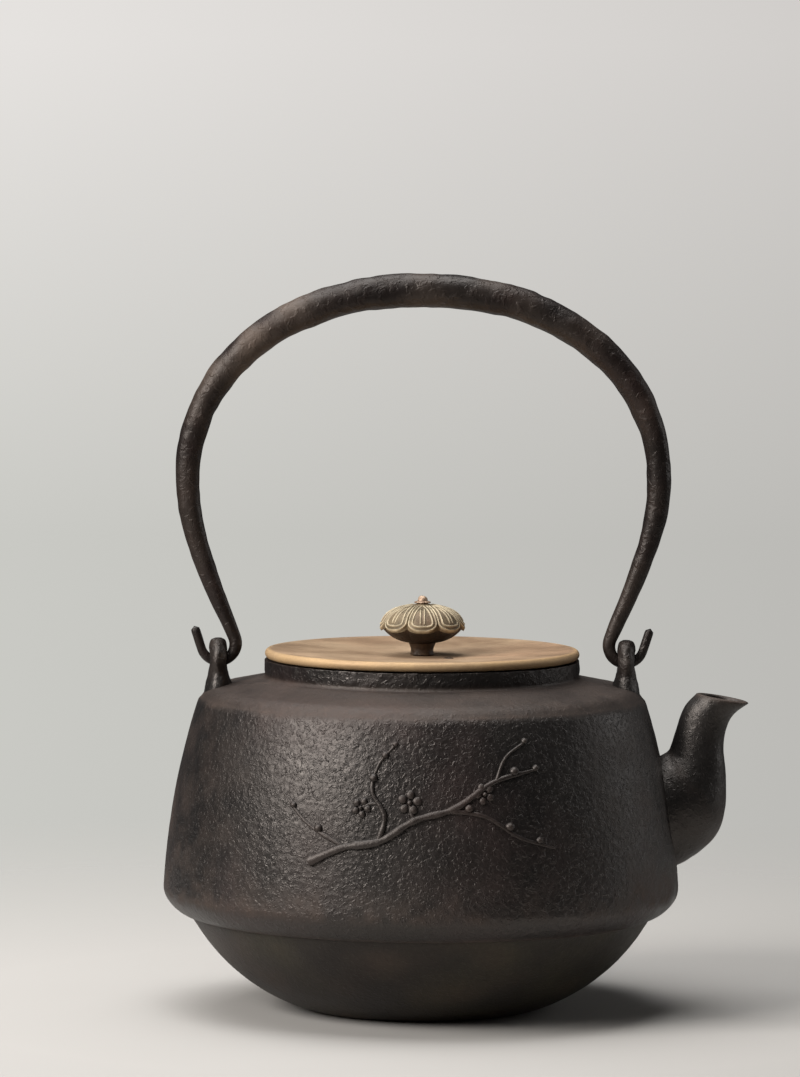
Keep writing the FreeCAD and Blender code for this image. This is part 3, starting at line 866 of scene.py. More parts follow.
@dataclass
class Shell:
    """The upper shell: a flared skirt, a leaning side, a flat shoulder and a collar."""

    columns: int = 470
    border_height: float = 102.3
    border_drift: float = 0.8
    border_pitch: float = 14.0
    border_width: float = 0.6
    border_step: float = 0.34
    collar_foot: float = 109.9
    collar_rise: float = 0.8
    collar_inside: float = 49.5
    collar_edge: float = 2.0
    lip_top: float = 39.5
    lip_fade: float = 3.0
    lip_foot: float = 31.0
    rust_top: float = 52.0
    rust_fade: float = 14.0
    wave_height: float = 0.2
    wave_pitch: float = 26.0
    bump_height: float = 0.2
    side_smoothing: float = 0.07
    collar_roughening: float = 0.3
    rust_wear: float = 0.45
    # Share of the worn tone in the flank patches, which are partly rust and partly painted sheen.
    flank_rust_and_sheen_wear: float = 0.28
    lip_wear: float = 0.75
    shoulder_wear: float = 0.46
    border_wear: float = 0.25
    mouth_radius: float = 47.0
    mouth_height: float = 110.0
    side_inside: float = 60.0
    shoulder_foot: float = 60.0
    shoulder_inside: float = 52.3
    bump_layers: Layers = ((0.6, 2.6), (0.4, 1.3))
    cloud_layers: Layers = ((0.65, 9.0), (0.35, 2.8))
    casting: Grain = field(default_factory=lambda: Grain(11))
    waves: Grain = field(default_factory=lambda: Grain(12))
    outside: list[Corner] = field(
        default_factory=lambda: [
            Corner(76.05, 30.8, bend=12.0, pitch=0.9),
            Corner(85.2, 38.8, bend=245.0, ease=1.8, pitch=0.85),
            Corner(72.5, 105.5, ease=5.2, pitch=0.6),
            Corner(52.2, 109.6, ease=0.9, pitch=0.7),
            Corner(52.2, 115.3, ease=0.7, pitch=1.2),
        ]
    )
    inside: list[Corner] = field(
        default_factory=lambda: [
            Corner(46.0, 115.3, ease=0.5, pitch=2.0),
            Corner(46.0, 106.6, ease=0.6, pitch=4.0),
            Corner(69.5, 102.5, bend=-242.0, ease=2.0, pitch=4.0),
            Corner(82.2, 40.8, ease=1.0, pitch=4.0),
            Corner(73.0, 40.8, pitch=3.0),
            Corner(73.0, 37.8, pitch=3.0),
            Corner(76.05, 37.8, pitch=3.0),
        ]
    )

    def skin(self) -> Skin:
        """Turn the section and roughen its outside.

        The lift is -(wave + bumps + step), so that the casting stays inside the solid's size.
        The side ends at a border that drifts up and down, and the shoulder lies a step lower.

        Returns:
            The shell's skin, with the grain's strength and the wear as fields; the wear also holds a painted
            sheen on the flanks.
        """
        outline = profile(self.outside + self.inside, True)
        rows = revolve(outline, self.columns)
        radius, height = outline[:, :1], outline[:, 1:]
        is_outside = (np.arange(len(outline))[:, None] < self.outside_rows(outline)).astype(float)
        border = self.border_height + self.border_drift * (self.waves.at(rows, self.border_pitch) - 0.5)
        is_side = falling(height, border, self.border_width)
        is_collar = rising(height, self.collar_foot, self.collar_rise)
        is_collar = is_collar * rising(radius, self.collar_inside, self.collar_edge)
        is_shoulder = (1 - is_side) * (1 - is_collar)
        coarse = self.bump_height - self.side_smoothing * is_side + self.collar_roughening * is_collar
        bumps = coarse * self.casting.layered(rows, self.bump_layers)
        wave = self.wave_height * self.waves.at(rows, self.wave_pitch)
        lift = -(wave + bumps + self.border_step * is_shoulder) * is_outside
        rough = 0.5 + 0.5 * is_side + 0.5 * is_collar
        cloud = self.waves.layered(rows, self.cloud_layers)
        rust = falling(height, self.rust_top, self.rust_fade) * patches(cloud, 2.2, 0.7)
        # Browner patches towards both flanks as seen from the camera: partly rust, partly painted sheen where
        # the side turns away from it.
        flank = np.abs(rows[..., 0]) / self.outside[1].radius
        flank_rust_and_sheen = rising(flank, 0.55, 0.35) * patches(cloud, 2.0, 0.6) * is_side
        above_lip = 1 - falling(height, self.lip_top, self.lip_fade)
        worn = (self.rust_wear * rust + self.flank_rust_and_sheen_wear * flank_rust_and_sheen) * above_lip
        worn = worn + self.lip_wear * hump(height, self.lip_foot, 0.8) * cloud
        worn = worn + self.shoulder_wear * is_shoulder * is_outside * (0.35 + 0.65 * cloud)
        worn = worn + self.border_wear * hump(height - border, -0.3, 0.8) * is_outside * cloud
        fields = {"skin": rough * is_outside, "wear": worn}
        return Skin.loft(revolve(outline, self.columns, lift), True, fields)

    def outside_rows(self, outline: np.ndarray) -> int:
        """Count the section's rows before the collar's inner edge."""
        return int(np.argmax((outline[:, 0] < self.mouth_radius) & (outline[:, 1] > self.mouth_height)))

    def side_radius(self, height: np.ndarray) -> np.ndarray:
        """Read the outer radius of the side at a height.

        Args:
            height: Heights in millimetres.

        Returns:
            Radii in millimetres.
        """
        outside = profile(self.outside, False)
        part = outside[outside[:, 0] > self.side_inside]
        return np.interp(height, part[:, 1], part[:, 0])

    def shoulder_height(self, radius: np.ndarray) -> np.ndarray:
        """Read the height of the shoulder at a radius.

        Args:
            radius: Radii in millimetres.

        Returns:
            Heights in millimetres.
        """
        outside = profile(self.outside, False)
        is_shoulder = (outside[:, 1] > self.shoulder_foot) & (outside[:, 0] > self.shoulder_inside)
        part = outside[is_shoulder][::-1]
        return np.interp(radius, part[:, 0], part[:, 1])


@dataclass
class Bowl:
    """The bottom bowl, let into the skirt."""

    columns: int = 360
    rim_radius: float = 75.9
    foot_wear: float = 0.5
    cloud_wear: float = 0.22
    cloud_pitch: float = 12.0
    foot_height: float = 1.5
    foot_fade: float = 6.0
    ledge_height: float = 30.0
    ledge_fade: float = 3.0
    stain_height: float = 7.0
    uneven_layers: Layers = ((0.25, 24.0), (0.08, 3.0))
    waves: Grain = field(default_factory=lambda: Grain(21))
    corners: list[Corner] = field(
        default_factory=lambda: [
            Corner(0.4, 0.0, pitch=3.0),
            Corner(37.5, 0.0, bend=62.0, ease=1.6, pitch=1.0),
            Corner(76.0, 30.8, pitch=1.5),
            Corner(76.0, 37.8, ease=0.3, pitch=1.5),
            Corner(73.0, 37.8, ease=0.3, pitch=2.0),
            Corner(73.0, 30.8, bend=-59.0, ease=1.0, pitch=3.0),
            Corner(37.5, 3.0, ease=1.0, pitch=4.0),
            Corner(0.4, 3.0),
        ]
    )

    def skin(self) -> Skin:
        """Turn the section and make its outside slightly uneven between the foot and the rim.

        Returns:
            The bowl's skin.
        """
        outline = profile(self.corners, False)
        rows = revolve(outline, self.columns)
        height = outline[:, 1:]
        is_outside = np.arange(len(outline))[:, None] <= int(np.argmax(outline[:, 0] > self.rim_radius))
        uneven = rising(height, self.foot_height, self.foot_fade) * is_outside
        uneven = uneven * falling(height, self.ledge_height, self.ledge_fade)
        lift = -uneven * self.waves.layered(rows, self.uneven_layers)
        cloud = self.waves.at(rows, self.cloud_pitch)
        foot = falling(height, self.stain_height, self.stain_height)
        wear = self.foot_wear * foot * cloud + self.cloud_wear * patches(cloud, 2.0, 1.0)
        return Skin.loft(revolve(outline, self.columns, lift), False, {"skin": 0.6, "wear": wear})


@dataclass
class Spout:
    """The spout: a curved tube from a wide oval root to a narrow mouth.

    A station holds its middle's x and z, its lean in degrees, its depth and its width.
    """

    shell: Shell
    wall: float = 2.4
    sunk: float = 1.6
    lip_rise: float = 0.5
    lip_wear: float = 0.75
    root_wear: float = 0.32
    cloud_pitch: float = 5.0
    lip_spread: float = 4.0
    root_row: float = 30.0
    root_spread: float = 16.0
    lip_rows: int = 9
    bore_step: int = 4
    hole_middle: tuple[float, float, float] = (81.75, 0, 65.1)
    hole_radius: float = 12.6
    hole_reach: float = 14.0
    hole_columns: int = 72
    columns: int = 112
    rows: int = 110
    rough_layers: Layers = ((0.16, 2.4), (0.2, 7.0))
    casting: Grain = field(default_factory=lambda: Grain(31))
    stations: np.ndarray = field(
        default_factory=lambda: np.array(
            [
                [79.6, 64.3, 8.6, 36.2, 30.3],
                [83.2, 66.2, 13.8, 36.0, 29.4],
                [89.3, 71.25, 31.0, 32.1, 27.0],
                [91.5, 83.3, 61.0, 20.6, 19.5],
                [91.6, 89.3, 75.0, 16.8, 17.0],
                [94.8, 98.8, 80.0, 16.6, 15.5],
                [98.9, 102.5, 80.4, 18.0, 16.0],
            ]
        )
    )

    def direction(self, station: int) -> np.ndarray:
        """Tell which way the spout runs at a station."""
        lean = math.radians(self.stations[station, 2])
        return np.array([math.cos(lean), 0, math.sin(lean)])

    def rings(self, wall: float) -> np.ndarray:
        """Draw oval rings between the near and far edges: c + s cos t in their plane, b sin t on Y.

        Args:
            wall: How far the rings are drawn in.

        Returns:
            Points by ring and column.
        """
        lean = np.radians(self.stations[:, 2])[:, None]
        across = np.concatenate([np.sin(lean), -np.cos(lean)], axis=1) * self.stations[:, 3:4] / 2
        middle = self.stations[:, :2]
        edges = np.concatenate([middle - across, middle + across, self.stations[:, 4:]], axis=1)
        line = smoothed(edges, self.rows)
        near, far = line[:, :2], line[:, 2:4]
        half = np.linalg.norm(far - near, axis=1) / 2
        spoke = (far - near) / 2 * ((half - wall) / half)[:, None]
        centre = (near + far) / 2
        angle = ring_angles(self.columns)[None]
        y = (line[:, 4:] / 2 - wall) * np.sin(angle)
        x = centre[:, :1] + spoke[:, :1] * np.cos(angle)
        z = centre[:, 1:] + spoke[:, 1:] * np.cos(angle)
        surface = np.sqrt(np.maximum(self.shell.side_radius(z) ** 2 - y**2, 0))
        return np.stack([np.maximum(x, surface - self.sunk), y, z], axis=-1)

    def skin(self) -> Skin:
        """Join the outer rings over a rounded lip to the bore.

        Returns:
            The spout's skin.
        """
        outer = self.rings(0.0)
        inner = self.rings(self.wall)
        away = outer - outer.mean(axis=1, keepdims=True)
        away /= np.linalg.norm(away, axis=2, keepdims=True)
        share = np.linspace(0, 1, self.rows)[:, None]
        rough = self.casting.layered(outer, self.rough_layers)
        outer = outer - away * (rough * np.clip(share * 8, 0, 1))[..., None]
        turn = np.linspace(0, math.pi, self.lip_rows)[1:-1, None, None]
        centre = (outer[-1] + inner[-1]) / 2
        half = (outer[-1] - inner[-1]) / 2
        lip = centre + half * np.cos(turn) + self.direction(-1) * self.lip_rise * np.sin(turn)
        rows = np.concatenate([outer, lip, inner[:: -self.bore_step]])
        row = np.arange(len(rows))[:, None]
        cloud = self.casting.at(rows, self.cloud_pitch)
        at_lip = hump(row, self.rows + 2, self.lip_spread) * (0.4 + 0.6 * cloud)
        at_root = hump(row, self.root_row, self.root_spread) * patches(cloud, 1.6, 0.5)
        wear = self.lip_wear * at_lip + self.root_wear * at_root
        return Skin.loft(rows, True, {"skin": 0.6, "wear": wear})

    def hole(self) -> Skin:
        """Make the cutter for the round hole through the wall behind the spout.

        Returns:
            The cutter.
        """
        reach = self.direction(0) * self.hole_reach
        middle = np.array(self.hole_middle)
        return drum(middle - reach, middle + reach, self.hole_radius, self.hole_columns)


@dataclass
class Lug:
    """An eyed lug that stands on the shoulder and holds a hook of the handle.

    A station holds its height from the eye's middle, its thickness and its width.
    """

    shell: Shell
    out: float = 67.2
    eye_height: float = 114.45
    eye_radius: float = 3.0
    eye_flare: float = 0.28
    eye_flat: float = 1.2
    eye_power: float = 1.7
    eye_reach: float = 6.0
    eye_rows: int = 41
    eye_columns: int = 40
    sunk: float = 1.2
    swell: float = 0.4
    worn_from: float = 107.0
    worn_over: float = 4.0
    wear: float = 0.3
    wear_pitch: float = 3.2
    columns: int = 64
    rows: int = 90
    knob_layers: Layers = ((0.6, 3.6), (0.4, 1.7))
    casting: Grain = field(default_factory=lambda: Grain(41))
    stations: np.ndarray = field(
        default_factory=lambda: np.array(
            [
                [-14.0, 10.4, 17.0],
                [-8.0, 8.8, 15.6],
                [-4.5, 7.0, 13.4],
                [0.0, 6.4, 14.2],
                [4.5, 6.2, 11.2],
                [6.4, 5.0, 7.8],
                [7.25, 2.4, 3.0],
            ]
        )
    )

    def skin(self) -> Skin:
        """Stack knobbly level ovals from under the shoulder's surface up to the round top.

        Returns:
            The skin of the lug on the right.
        """
        line = smoothed(self.stations, self.rows)
        angle = ring_angles(self.columns)
        x = self.out + line[:, 1:2] / 2 * np.cos(angle)
        y = line[:, 2:3] / 2 * np.sin(angle)
        z = np.broadcast_to(self.eye_height + line[:, :1], x.shape)
        buried = self.shell.shoulder_height(np.hypot(x, y)) - self.sunk
        points = np.stack([x, y, np.maximum(z, buried)], axis=-1)
        away = (points - points.mean(axis=1, keepdims=True)) * (1, 1, 0)
        away /= np.linalg.norm(away, axis=2, keepdims=True) + HAIR
        knobs = self.casting.layered(points, self.knob_layers)
        points = points + away * (self.swell - knobs)[..., None]
        wear = self.wear * self.casting.at(points, self.wear_pitch)
        wear = wear * rising(points[..., 2], self.worn_from, self.worn_over)
        return Skin.loft(points, False, {"skin": 1.0, "wear": wear})

    def eye(self) -> Skin:
        """Make the cutter of the eye, a spool of radius r + f max(|x| - w, 0)^p.

        Returns:
            The cutter for the lug on the right.
        """
        along = np.linspace(-self.eye_reach, self.eye_reach, self.eye_rows)[:, None]
        past_flat = np.maximum(np.abs(along) - self.eye_flat, 0)
        radius = self.eye_radius + self.eye_flare * past_flat**self.eye_power
        angle = ring_angles(self.eye_columns)
        y = radius * np.cos(angle)
        z = self.eye_height + radius * np.sin(angle)
        return Skin.loft(np.stack([self.out + along + 0 * y, y, z], axis=-1), False, {})


# The relief on the front


@dataclass(frozen=True)
class Spot:
    """A place on the side: the distance round from the front and the height, in millimetres."""

    round: float
    height: float


@dataclass
class Relief:
    """A low relief of a plum twig with buds and blossoms, a common tea ware pattern.

    A branch's rows hold the distance round, the height and the radius. A bud has its place and
    its size, and a blossom its place, its reach and its turn.
    """

    shell: Shell
    columns: int = 20
    rows_per_control: int = 26
    knot_pitch: float = 2.6
    branch_sunk: float = 0.2
    mound_rows: int = 15
    mound_columns: int = 24
    mound_sunk: float = 0.12
    pole_gap: float = 0.06
    bud_width: float = 0.9
    bud_height: float = 0.95
    heart_size: float = 0.36
    heart_height: float = 1.25
    petal_count: int = 5
    petal_length: float = 0.62
    petal_width: float = 0.56
    petal_height: float = 0.85
    bark: Grain = field(default_factory=lambda: Grain(51))
    branches: list[list[tuple[float, float, float]]] = field(
        default_factory=lambda: [
            [
                (-37, 57, 1.5),
                (-25, 62, 1.35),
                (-14, 64, 1.2),
                (-2, 71, 1.1),
                (9, 74, 0.95),
                (24, 83, 0.8),
                (37, 86, 0.5),
            ],
            [(-14, 64, 1.0), (-12, 72, 0.85), (-16, 80, 0.7), (-14, 88, 0.5), (-9, 94, 0.35)],
            [(9, 74, 0.9), (20, 72, 0.7), (32, 65, 0.55), (45, 61, 0.35)],
            [(24, 83, 0.7), (27, 90, 0.5), (34, 95, 0.35)],
            [(-25, 62, 0.8), (-38, 69, 0.6), (-47, 78, 0.35)],
            [(-2.4, 71, 0.7), (-3.6, 73.6, 0.6), (-4.0, 76.4, 0.5)],
            [(-13.4, 76, 0.6), (-16.4, 75.8, 0.5), (-19.6, 74.6, 0.45)],
        ]
    )
    buds: tuple[tuple[float, float, float], ...] = (
        (-15.6, 84.0, 1.5),
        (-11.8, 91.2, 1.25),
        (-8.6, 94.6, 1.0),
        (15.0, 74.6, 1.5),
        (28.6, 68.6, 1.6),
        (39.0, 63.9, 1.25),
        (30.0, 85.9, 1.6),
        (37.6, 86.6, 1.2),
        (33.6, 95.2, 1.05),
        (-34.0, 67.6, 1.45),
        (-43.0, 74.4, 1.2),
    )
    blossoms: tuple[tuple[float, float, float, float], ...] = (
        (-4.0, 76.4, 2.5, 0.2),
        (20.0, 79.0, 2.2, 0.75),
        (-19.6, 74.6, 2.1, 1.1),
    )

    def place(self, spots: np.ndarray, lift: np.ndarray) -> np.ndarray:
        """Lay flat places on the side: ((r + l) sin a, -(r + l) cos a, z) with a = round / r.

        Args:
            spots: Places (round, height).
            lift: Distances out of the surface.

        Returns:
            Points in the shared frame.
        """
        radius = self.shell.side_radius(spots[..., 1])
        angle = spots[..., 0] / radius
        reach = radius + lift
        return np.stack([reach * np.sin(angle), -reach * np.cos(angle), spots[..., 1]], axis=-1)

    def branch(self, controls: list[tuple[float, float, float]]) -> Skin:
        """Draw a tapering knotty branch whose inner half lies in the wall.

        Args:
            controls: Rows of distance round, height and radius.

        Returns:
            The branch's skin.
        """
        line = smoothed(np.array(controls, dtype=float), self.rows_per_control * len(controls))
        along = np.gradient(line[:, :2], axis=0)
        along /= np.linalg.norm(along, axis=1, keepdims=True)
        side = np.stack([-along[:, 1], along[:, 0]], axis=1)
        angle = ring_angles(self.columns)
        flat = np.stack([line[:, 0], 0 * line[:, 0], line[:, 1]], axis=1)
        knots = 0.8 + 0.45 * self.bark.at(flat, self.knot_pitch)
        radius = (line[:, 2] * knots)[:, None]
        spots = line[:, None, :2] + side[:, None] * (radius * np.cos(angle))[..., None]
        rows = self.place(spots, radius * (0.15 + 0.85 * np.sin(angle)) - self.branch_sunk)
        return Skin.loft(rows, False, {"skin": 0.5, "wear": 0.12 * np.clip(np.sin(angle), 0, 1)})

    def mound(self, spot: Spot, sizes: tuple[float, float, float], turn: float = 0.0) -> Skin:
        """Raise a smooth mound, an ellipsoid whose lower part lies in the wall.

        Args:
            spot: The mound's middle.
            sizes: Half length, half width and height.
            turn: The angle of its length from level.

        Returns:
            The mound's skin.
        """
        tilt = np.linspace(self.pole_gap, math.pi - self.pole_gap, self.mound_rows)[:, None]
        angle = ring_angles(self.mound_columns)[None]
        long = sizes[0] * np.sin(tilt) * np.cos(angle)
        wide = sizes[1] * np.sin(tilt) * np.sin(angle)
        across = spot.round + long * math.cos(turn) - wide * math.sin(turn)
        height = spot.height + long * math.sin(turn) + wide * math.cos(turn)
        rows = self.place(np.stack([across, height], axis=-1), sizes[2] * np.cos(tilt) - self.mound_sunk)
        return Skin.loft(rows, False, {"skin": 0.35, "wear": 0.2 * np.clip(np.cos(tilt), 0, 1) ** 2})

    def blossom(self, middle: Spot, reach: float, turn: float) -> list[Skin]:
        """Set five round petals about a small heart.

        Args:
            middle: The blossom's middle.
            reach: Distance from the middle to a petal's middle.
            turn: The angle of the first petal.

        Returns:
            The petals and the heart.
        """
        heart = reach * self.heart_size
        petal = (reach * self.petal_length, reach * self.petal_width, self.petal_height)
        skins = [self.mound(middle, (heart, heart, self.heart_height))]
        for angle in turn + ring_angles(self.petal_count):
            spot = Spot(middle.round + reach * math.cos(angle), middle.height + reach * math.sin(angle))
            skins.append(self.mound(spot, petal, float(angle)))
        return skins

    def skins(self) -> dict[str, Skin]:
        """Draw the branches, the buds and the blossoms.

        Returns:
            Skins by piece name.
        """
        buds = []
        for across, height, size in self.buds:
            sizes = (size, size * self.bud_width, size * self.bud_height)
            buds.append(self.mound(Spot(across, height), sizes))
        petals = []
        for across, height, reach, turn in self.blossoms:
            petals += self.blossom(Spot(across, height), reach, turn)
        return {
            "plum_branches": Skin.union([self.branch(controls) for controls in self.branches]),
            "plum_buds": Skin.union(buds),
            "plum_blossoms": Skin.union(petals),
        }


@dataclass
class Pot(Assembly):
    """The fixed body of the kettle."""

    shell: Shell = field(default_factory=Shell)
    bowl: Bowl = field(default_factory=Bowl)

    def build(self) -> None:
        """Build the shell, the bowl, the spout, the lugs and the relief."""
        spout = Spout(self.shell)
        lug = Lug(self.shell)
        cast = self.add(self.shell.skin(), "shell_cast", Body.KETTLE, SHELL_IRON, "body_shell")
        carve(cast, spout.hole())
        self.add(self.bowl.skin(), "bowl_cast", Body.KETTLE, BOWL_IRON, "bottom_bowl")
        self.add(spout.skin(), "spout_cast", Body.KETTLE, SHELL_IRON, "spout")
        for side in Side:
            post, eye = lug.skin(), lug.eye()
            if side is Side.LEFT:
                post, eye = post.mirrored(), eye.mirrored()
            node = f"lug_{side.name.lower()}"
            carve(self.add(post, f"{node}_cast", Body.KETTLE, SHELL_IRON, node), eye)
        for name, skin in Relief(self.shell).skins().items():
            self.add(skin, name, Body.KETTLE, SHELL_IRON)


# The handle


@dataclass
class Bail(Assembly):
    """The bail handle: a thick hollow grip and two hooks that hang in the lugs."""

    reach: float = 77.5
    lift: float = 173.95
    rise: float = 62.6
    fullness: float = 2 / 2.12
    grip_radius: float = 5.95
    grip_taper: float = 1.15
    flank_radius: float = 4.27
    leg_taper: float = 1.4
    hook_radius: float = 2.2
    tip_radius: float = 1.45
    hook_swell: float = 0.12
    hook_bend: float = 5.75
    hook_lean: float = math.radians(22.8)
    tip_lean: float = math.radians(18.0)
    tip_length: float = 7.0
    tip_round: float = 0.9
    bend_out: float = 67.2
    bend_height: float = 119.8
    tube_drop: float = 24.0
    columns: int = 64
    pitch: float = 0.9
    crown_rows: int = 200
    leg_rows: int = 160
    bend_rows: int = 80
    tip_rows: int = 30
    fewest_rows: int = 24
    least_left: float = 0.0025
    # Upper-left patch of the grip, facing the key light: rubbed wear together with a painted highlight.
    rubbed_and_sheen_out: float = 20.0
    rubbed_and_sheen_height: float = 185.0
    crest_height: float = 205.0
    out_fade: float = 40.0
    height_fade: float = 25.0
    wear_pitch: float = 11.0
    plain_wear: float = 0.12
    rubbed_and_sheen_wear: float = 0.5
    crest_wear: float = 0.15
    dent_layers: Layers = ((0.11, 7.0), (0.05, 2.6))
    hammer: Grain = field(default_factory=lambda: Grain(61))

    def crown(self) -> np.ndarray:
        """Draw the right half of the crown: x = a cos(t)^f, z = c + b sin(t)^f.

        Returns:
            Rows of x, z and radius from the top to the flank.
        """
        turn = np.linspace(math.pi / 2, 0, self.crown_rows)
        across, up = np.cos(turn).clip(0), np.sin(turn).clip(0)
        radius = self.flank_radius + (self.grip_radius - self.flank_radius) * up**self.grip_taper
        x = self.reach * across**self.fullness
        z = self.lift + self.rise * up**self.fullness
        return np.stack([x, z, radius], axis=1)

    def leg(self) -> np.ndarray:
        """Draw the right leg, x = reach - d (k s^2 + (1 - k) s^3), from the flank to the hook.

        Returns:
            Rows of x, z and radius.
        """
        foot_out = self.bend_out - self.hook_bend * math.cos(self.hook_lean)
        foot_height = self.bend_height + self.hook_bend * math.sin(self.hook_lean)
        inset = self.reach - foot_out
        drop = self.lift - foot_height
        curve = 3 - math.tan(self.hook_lean) * drop / inset
        share = np.linspace(0, 1, self.leg_rows)
        x = self.reach - inset * (curve * share**2 + (1 - curve) * share**3)
        radius = self.flank_radius - (self.flank_radius - self.hook_radius) * share**self.leg_taper
        return np.stack([x, self.lift - drop * share, radius], axis=1)

    def hook(self) -> np.ndarray:
        """Draw the hook's round bend, its straight tip and the rounded end.

        Returns:
            Rows of x, z and radius.
        """
        share = np.linspace(0, 1, self.bend_rows)[1:]
        turn = math.pi - self.hook_lean + (math.pi + self.hook_lean - self.tip_lean) * share
        radius = self.hook_radius + (self.tip_radius - self.hook_radius) * share
        x = self.bend_out + self.hook_bend * np.cos(turn)
        z = self.bend_height + self.hook_bend * np.sin(turn)
        end = self.tip_length + self.tip_round
        along = np.linspace(0, end, self.tip_rows)[1:]
        left = np.clip((end - along) / self.tip_radius, self.least_left, 1)
        blunt = self.tip_radius * np.sqrt(1 - (1 - left) ** 2)
        tip_x = x[-1] + math.sin(self.tip_lean) * along
        tip_z = z[-1] + math.cos(self.tip_lean) * along
        bend = np.stack([x, z, radius], axis=1)
        return np.concatenate([bend, np.stack([tip_x, tip_z, blunt], axis=1)])

    def tube(self, line: np.ndarray, swell: float = 0.0) -> Skin:
        """Wrap rings about a flat line: centre + r (cos t n + sin t y), with hammered dents.

        Args:
            line: Rows of x, z and radius.
            swell: Share of the radius that the run gains by its end, to make up for the dents.

        Returns:
            The skin of the run, worn on its crest, and on its upper left both worn where a hand has rubbed it
            and painted with a highlight where the key light falls.
        """
        length = polyline_length(line[:, :2])
        spacing = np.linspace(0, length, max(int(length / self.pitch), self.fewest_rows))
        steps = np.linalg.norm(np.diff(line[:, :2], axis=0), axis=1)
        along = np.concatenate([[0], np.cumsum(steps)])
        x, z, radius = (np.interp(spacing, along, column) for column in line.T)
        tangent = np.stack([np.gradient(x), np.gradient(z)], axis=1)
        tangent /= np.linalg.norm(tangent, axis=1, keepdims=True)
        normal = np.stack([-tangent[:, 1], 0 * x, tangent[:, 0]], axis=1)[:, None]
        angle = ring_angles(self.columns)[None, :, None]
        spoke = np.cos(angle) * normal + np.sin(angle) * np.array([0, 1, 0])
        centre = np.stack([x, 0 * x, z], axis=1)[:, None]
        rows = centre + spoke * radius[:, None, None]
        dents = self.hammer.layered(rows, self.dent_layers) - np.linspace(0, swell, len(x))[:, None]
        rows = rows - spoke * (dents * radius[:, None])[..., None]
        across, height = rows[..., 0], rows[..., 2]
        # Lighter on the upper left of the grip: real rubbed wear together with a painted highlight where the
        # key light falls.
        rubbed_and_sheen = rising(-across, self.rubbed_and_sheen_out, self.out_fade)
        rubbed_and_sheen = rubbed_and_sheen * rising(height, self.rubbed_and_sheen_height, self.height_fade)
        crest = rising(height, self.crest_height, self.height_fade)
        most = self.plain_wear + self.rubbed_and_sheen_wear * rubbed_and_sheen + self.crest_wear * crest
        wear = patches(self.hammer.at(rows, self.wear_pitch), 2.4, 1.0) * most
        return Skin.loft(rows, False, {"skin": 0.8, "wear": wear})

    def build(self) -> None:
        """Build the grip and both hooks."""
        leg = self.leg()
        is_tube = leg[:, 1] >= self.lift - self.tube_drop
        right = np.concatenate([self.crown(), leg[is_tube][1:]])
        left = right[:0:-1] * (-1, 1, 1)
        grip = self.tube(np.concatenate([left, right]))
        self.add(grip, "handle_grip_iron", Body.HANDLE, HANDLE_IRON, "handle_tube")
        shank = np.concatenate([leg[is_tube][-1:], leg[~is_tube], self.hook()])
        for side in Side:
            skin = self.tube(shank * (side.value, 1, 1), self.hook_swell)
            node = f"handle_hook_{side.name.lower()}"
            self.add(skin, f"{node}_iron", Body.HANDLE, HANDLE_IRON, node)


# The lid and its knob


